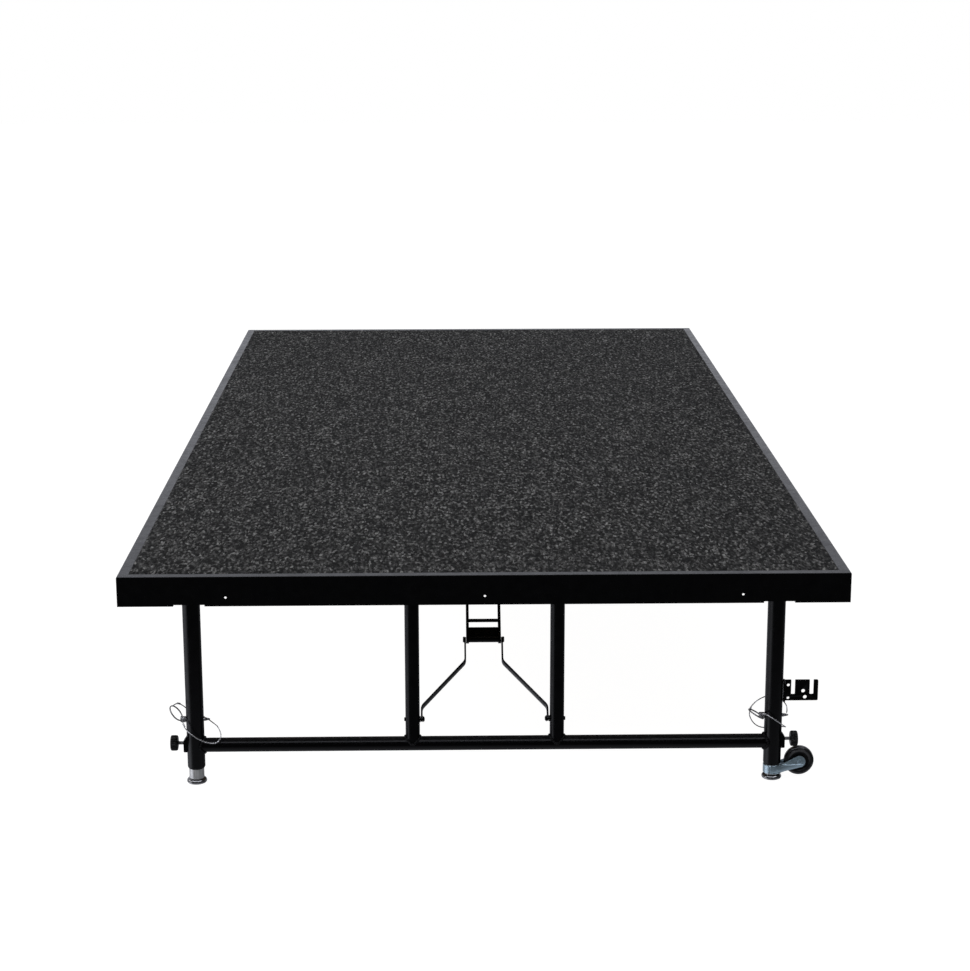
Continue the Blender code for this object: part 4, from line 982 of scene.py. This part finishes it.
def wheel_fork(end_name):
    """The zinc fork: a band round the leg, two cheeks that wrap its front and back, and the axle."""
    end = ENDS[end_name]
    place = leg_place(end, 1)
    shape = bmesh.new()
    band, inside, chamfer = 0.0150, 0.0130, 0.0003
    lathe(shape, [(inside, FORK_TOP), (band - chamfer, FORK_TOP), (band, FORK_TOP - 0.0004),
                  (band, FORK_BOTTOM + 0.0004), (band - chamfer, FORK_BOTTOM), (inside, FORK_BOTTOM)],
          place, 64, closed=True)
    reach = WHEEL_X - LEG_X
    straight, half_gap, flare, root_z = 0.022, 0.009, 0.0064, 0.0183
    lean = math.atan2(WHEEL_Z - root_z, reach)
    turns = [lean - math.pi / 2 + math.pi * step / 24 for step in range(25)]
    wrap = (-0.0044, 0, 0.005, 0.010)
    arm = [(x, FORK_BOTTOM + GAP) for x in wrap] + [(0.016, 0.0129), (straight, 0.0145)]
    arm += [(reach + FORK_END_RADIUS * math.cos(t), WHEEL_Z + FORK_END_RADIUS * math.sin(t))
            for t in turns]
    arm += [(straight, 0.0304), (0.016, 0.0274)] + [(x, FORK_TOP - GAP) for x in reversed(wrap)]
    for sign in (-1, 1):
        cheek = bmesh.new()
        slab(cheek, [arm], FORK_PLATE, FRONT_VIEW, 0.0005)
        for vertex in cheek.verts:
            share = min(max((straight - vertex.co.x) / straight, 0.0), 1.0)
            vertex.co.y += sign * (half_gap + flare * (3 * share ** 2 - 2 * share ** 3))
        cheek.transform(place)
        take_in(shape, plain_mesh("cheek", cheek))
        aside = Matrix.Rotation(sign * math.radians(-90), 4, "X")
        screw = place @ shift(reach, sign * 0.0099, WHEEL_Z) @ aside
        lathe(shape, [(0, 0.0004), (0.0019, 0.0004), (0.0021, 0.0014), (0.0034, 0.0013),
                      (0.0044, 0.0007), (0.0046, 0.0), (0, 0.0)], screw, 36)
    axle, half = 0.003, 0.0095
    lathe(shape, [(0, half), (axle, half), (axle, -half), (0, -half)],
          place @ shift(reach, 0, WHEEL_Z) @ AXIS_TO_Y, 24)
    piece(f"fork_{end_name}", shape, "zinc", f"telescope_{end_name}_right", [f"wheel_fork_{end_name}"])


def wheel(end_name):
    """A rubber tyre with two grooves round its tread, on a moulded hub."""
    end = ENDS[end_name]
    place = shift(WHEEL_X, end * LEG_Y, WHEEL_Z) @ AXIS_TO_Y
    half = WHEEL_WIDTH / 2
    wall = [(0.0165, half - 0.0008), (0.0172, half - 0.0002), (0.0194, half - 0.0002), (0.0198, half),
            (0.0206, half), (0.0210, half - 0.0005), (0.0222, half - 0.0006), (0.0238, half - 0.0012),
            (0.0250, half - 0.0032)]
    tread = [(WHEEL_RADIUS, half - 0.0042), (WHEEL_RADIUS - 0.0006, half - 0.0046),
             (WHEEL_RADIUS, half - 0.0050)]
    face = [(0.0035, half - 0.0006), (0.0062, half - 0.0006), (0.0068, half - 0.0022),
            (0.0140, half - 0.0022), (0.0148, half - 0.0010), (0.0166, half - 0.0008)]
    tyre, hub = bmesh.new(), bmesh.new()
    for shape, outer, segments in ((tyre, wall + tread, 72), (hub, face, 60)):
        mirrored = [(radius, -height) for radius, height in reversed(outer)]
        lathe(shape, outer + mirrored, place, segments, closed=True)
    piece(f"tyre_{end_name}", tyre, "rubber", f"wheel_body_{end_name}", [f"wheel_{end_name}"], 45)
    piece(f"hub_{end_name}", hub, "plastic", f"wheel_body_{end_name}")


def slotted_plate(end_name):
    """The plate with two open slots, and its flange with cut corners against the leg."""
    end = ENDS[end_name]
    start = LEG_X + LEG_RADIUS + GAP
    edge = [(0.0002, 0), (PLATE_WIDTH, 0), (PLATE_WIDTH, PLATE_HEIGHT)]
    for centre in SLOT_CENTRES:
        right, left, floor = centre + SLOT_HALF_WIDTH, centre - SLOT_HALF_WIDTH, PLATE_HEIGHT - SLOT_DEPTH
        edge += [(right, PLATE_HEIGHT), (right, floor), (left, floor), (left, PLATE_HEIGHT)]
    edge.append((0.0002, PLATE_HEIGHT))
    radii = [0, 0.0022, 0.0022] + [0.0011] * (len(edge) - 4) + [0]
    holes = [circle((x, y), radius) for x, y, radius in
             ((0.0088, 0.0275, 0.0026), (0.0088, 0.0045, 0.0024),
              (0.0342, 0.0170, 0.0032), (0.0375, 0.0062, 0.0032))]
    foot = shift(start, end * LEG_Y, PLATE_BOTTOM)
    shape = bmesh.new()
    slab(shape, [filleted(edge, radii, 4), *holes], PLATE_THICKNESS, foot @ FRONT_VIEW)
    half, cut = 0.009, 0.0037
    high = PLATE_HEIGHT - GAP
    flange = [(-half, GAP), (half, GAP), (half, high - cut), (half - cut, high), (-half + cut, high),
              (-half, high - cut)]
    side = foot @ shift(PLATE_THICKNESS / 2, 0, 0) @ SIDE_VIEW
    slab(shape, [flange], PLATE_THICKNESS, side)
    piece(f"hook_plate_{end_name}", shape, "paint", f"leg_frame_{end_name}",
          [f"slotted_plate_{end_name}"])


for end_name in ENDS:
    crossbar(end_name)
    welds(end_name)
    lower_bars(end_name)
    upper_link(end_name)
    wheel_fork(end_name)
    wheel(end_name)
    slotted_plate(end_name)
    for side_name in SIDES:
        outer_leg(end_name, side_name)
        inner_leg(end_name, side_name)
        telescopic_leg(end_name, side_name)
        locking_pin(end_name, side_name)
        clamp_knob(end_name, side_name)


# Nodes of the frame that stay as they are

for node_name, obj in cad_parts.items():
    if not obj.hide_render:
        material = FINISHES["plywood" if node_name == "deck_board" else "paint"][0]
        obj.data.materials.clear()
        obj.data.materials.append(material)


# Floor, world and lights

FLOOR_GLOW = 0.962
FLOOR_TONES = (0.50, 0.18)
WORLD_LIGHT = 0.45
SOFTBOXES = {
    "left_softbox": ((-4.6, -1.3, 2.2), (0, -0.9, 0.2), (4.0, 2.0), 130),
    "top_softbox": ((0.6, -0.6, 5.0), (0, -0.2, 0.3), (5.0, 5.0), 30),
}


def on_rays(tree, *kinds):
    """1 on the kinds of ray that are named, and 0 on the others."""
    path = add(tree, "ShaderNodeLightPath").outputs
    return combined(tree, "MAXIMUM", *[path[f"Is {kind} Ray"] for kind in kinds])


def surroundings(tree):
    """How bright reflections find the studio: white behind the stage, dim in front of it, a tall
    light on the left, a strip above the front and a bright floor close by."""
    place = add(tree, "ShaderNodeTexCoord").outputs["Generated"]
    x, y, level = add(tree, "ShaderNodeSeparateXYZ", {"Vector": place}).outputs
    left = combined(tree, "MULTIPLY", x, -1.0)
    front = combined(tree, "MULTIPLY", y, -1.0)
    around = combined(tree, "ARCTAN2", left, front)

    def bands(*parts):
        """A product of bands, each with soft edges, across the directions from the object."""
        return combined(tree, "MULTIPLY", *[spread(tree, *part) for part in parts])

    white = bands((y, 0.0, 1.0, 0.10, 0.35), (level, 0.30, 1.0, -0.18, -0.04))
    near_floor = bands((level, 0.0, 1.3, -0.35, -0.60), (front, 0.3, 1.0, -0.25, 0.0))
    tall_light = bands((around, 0.0, 4.4, 0.90, 1.20), (around, 1.0, 0.12, 1.50, 2.10),
                       (level, 1.0, 0.0, -0.24, -0.14), (level, 0.0, 1.0, -0.75, -0.62))
    strip_light = bands((level, 0.0, 11.0, 0.74, 0.79), (level, 1.0, 0.0, 0.85, 0.90),
                        (front, 0.0, 1.0, 0.0, 0.15))
    dim = 0.20
    broad = combined(tree, "MAXIMUM", white, near_floor, dim)
    return combined(tree, "ADD", broad, tall_light, strip_light)


def studio_floor():
    """A pale floor with a soft shadow, clear from below."""
    material = bpy.data.materials.new("studio_floor")
    material.use_nodes = True
    tree = material.node_tree
    tree.nodes.clear()
    seen = on_rays(tree, "Camera", "Glossy", "Transmission")
    glow = add(tree, "ShaderNodeEmission", {"Color": (1, 1, 1, 1),
                                            "Strength": spread(tree, seen, 0.0, FLOOR_GLOW)})
    pale = add(tree, "ShaderNodeBsdfDiffuse", {"Color": blended(tree, seen, *FLOOR_TONES)})
    both = add(tree, "ShaderNodeAddShader", {0: glow.outputs[0], 1: pale.outputs[0]})
    below = add(tree, "ShaderNodeNewGeometry").outputs["Backfacing"]
    clear = add(tree, "ShaderNodeBsdfTransparent")
    sided = add(tree, "ShaderNodeMixShader", {0: below, 1: both.outputs[0], 2: clear.outputs[0]})
    add(tree, "ShaderNodeOutputMaterial", {"Surface": sided.outputs[0]})
    shape = bmesh.new()
    bmesh.ops.create_grid(shape, x_segments=2, y_segments=2, size=14)
    floor = new_object("studio_floor", plain_mesh("studio_floor", shape))
    floor.location = (0, 0, -0.0002)
    floor.data.materials.append(material)
    floor.visible_glossy = False


def studio_world():
    """A white backdrop, which lights evenly, and the surroundings that reflections find."""
    world = bpy.data.worlds.new("studio_world")
    bpy.context.scene.world = world
    world.use_nodes = True
    tree = world.node_tree
    tree.nodes.clear()
    seen = on_rays(tree, "Camera", "Transmission")
    plain = add(tree, "ShaderNodeBackground", {"Color": (1, 1, 1, 1),
                                               "Strength": spread(tree, seen, WORLD_LIGHT, 1.0)})
    mirrored = add(tree, "ShaderNodeBackground", {"Color": (0.96, 0.98, 1.07, 1),
                                                  "Strength": surroundings(tree)})
    sky = add(tree, "ShaderNodeMixShader", {0: on_rays(tree, "Glossy"), 1: plain.outputs[0],
                                            2: mirrored.outputs[0]})
    add(tree, "ShaderNodeOutputWorld", {"Surface": sky.outputs[0]})


def studio_lights():
    """A broad soft light on the left and a weak one above."""
    for name, (spot, aim, (width, height), power) in SOFTBOXES.items():
        data = bpy.data.lights.new(name, "AREA")
        data.shape = "RECTANGLE"
        data.size, data.size_y = width, height
        data.energy = power
        lamp = new_object(name, data)
        lamp.location = spot
        aimed = Vector(aim) - Vector(spot)
        lamp.rotation_euler = aimed.to_track_quat("-Z", "Y").to_euler()


bpy.context.scene.view_settings.view_transform = "Standard"
studio_floor()
studio_world()
studio_lights()
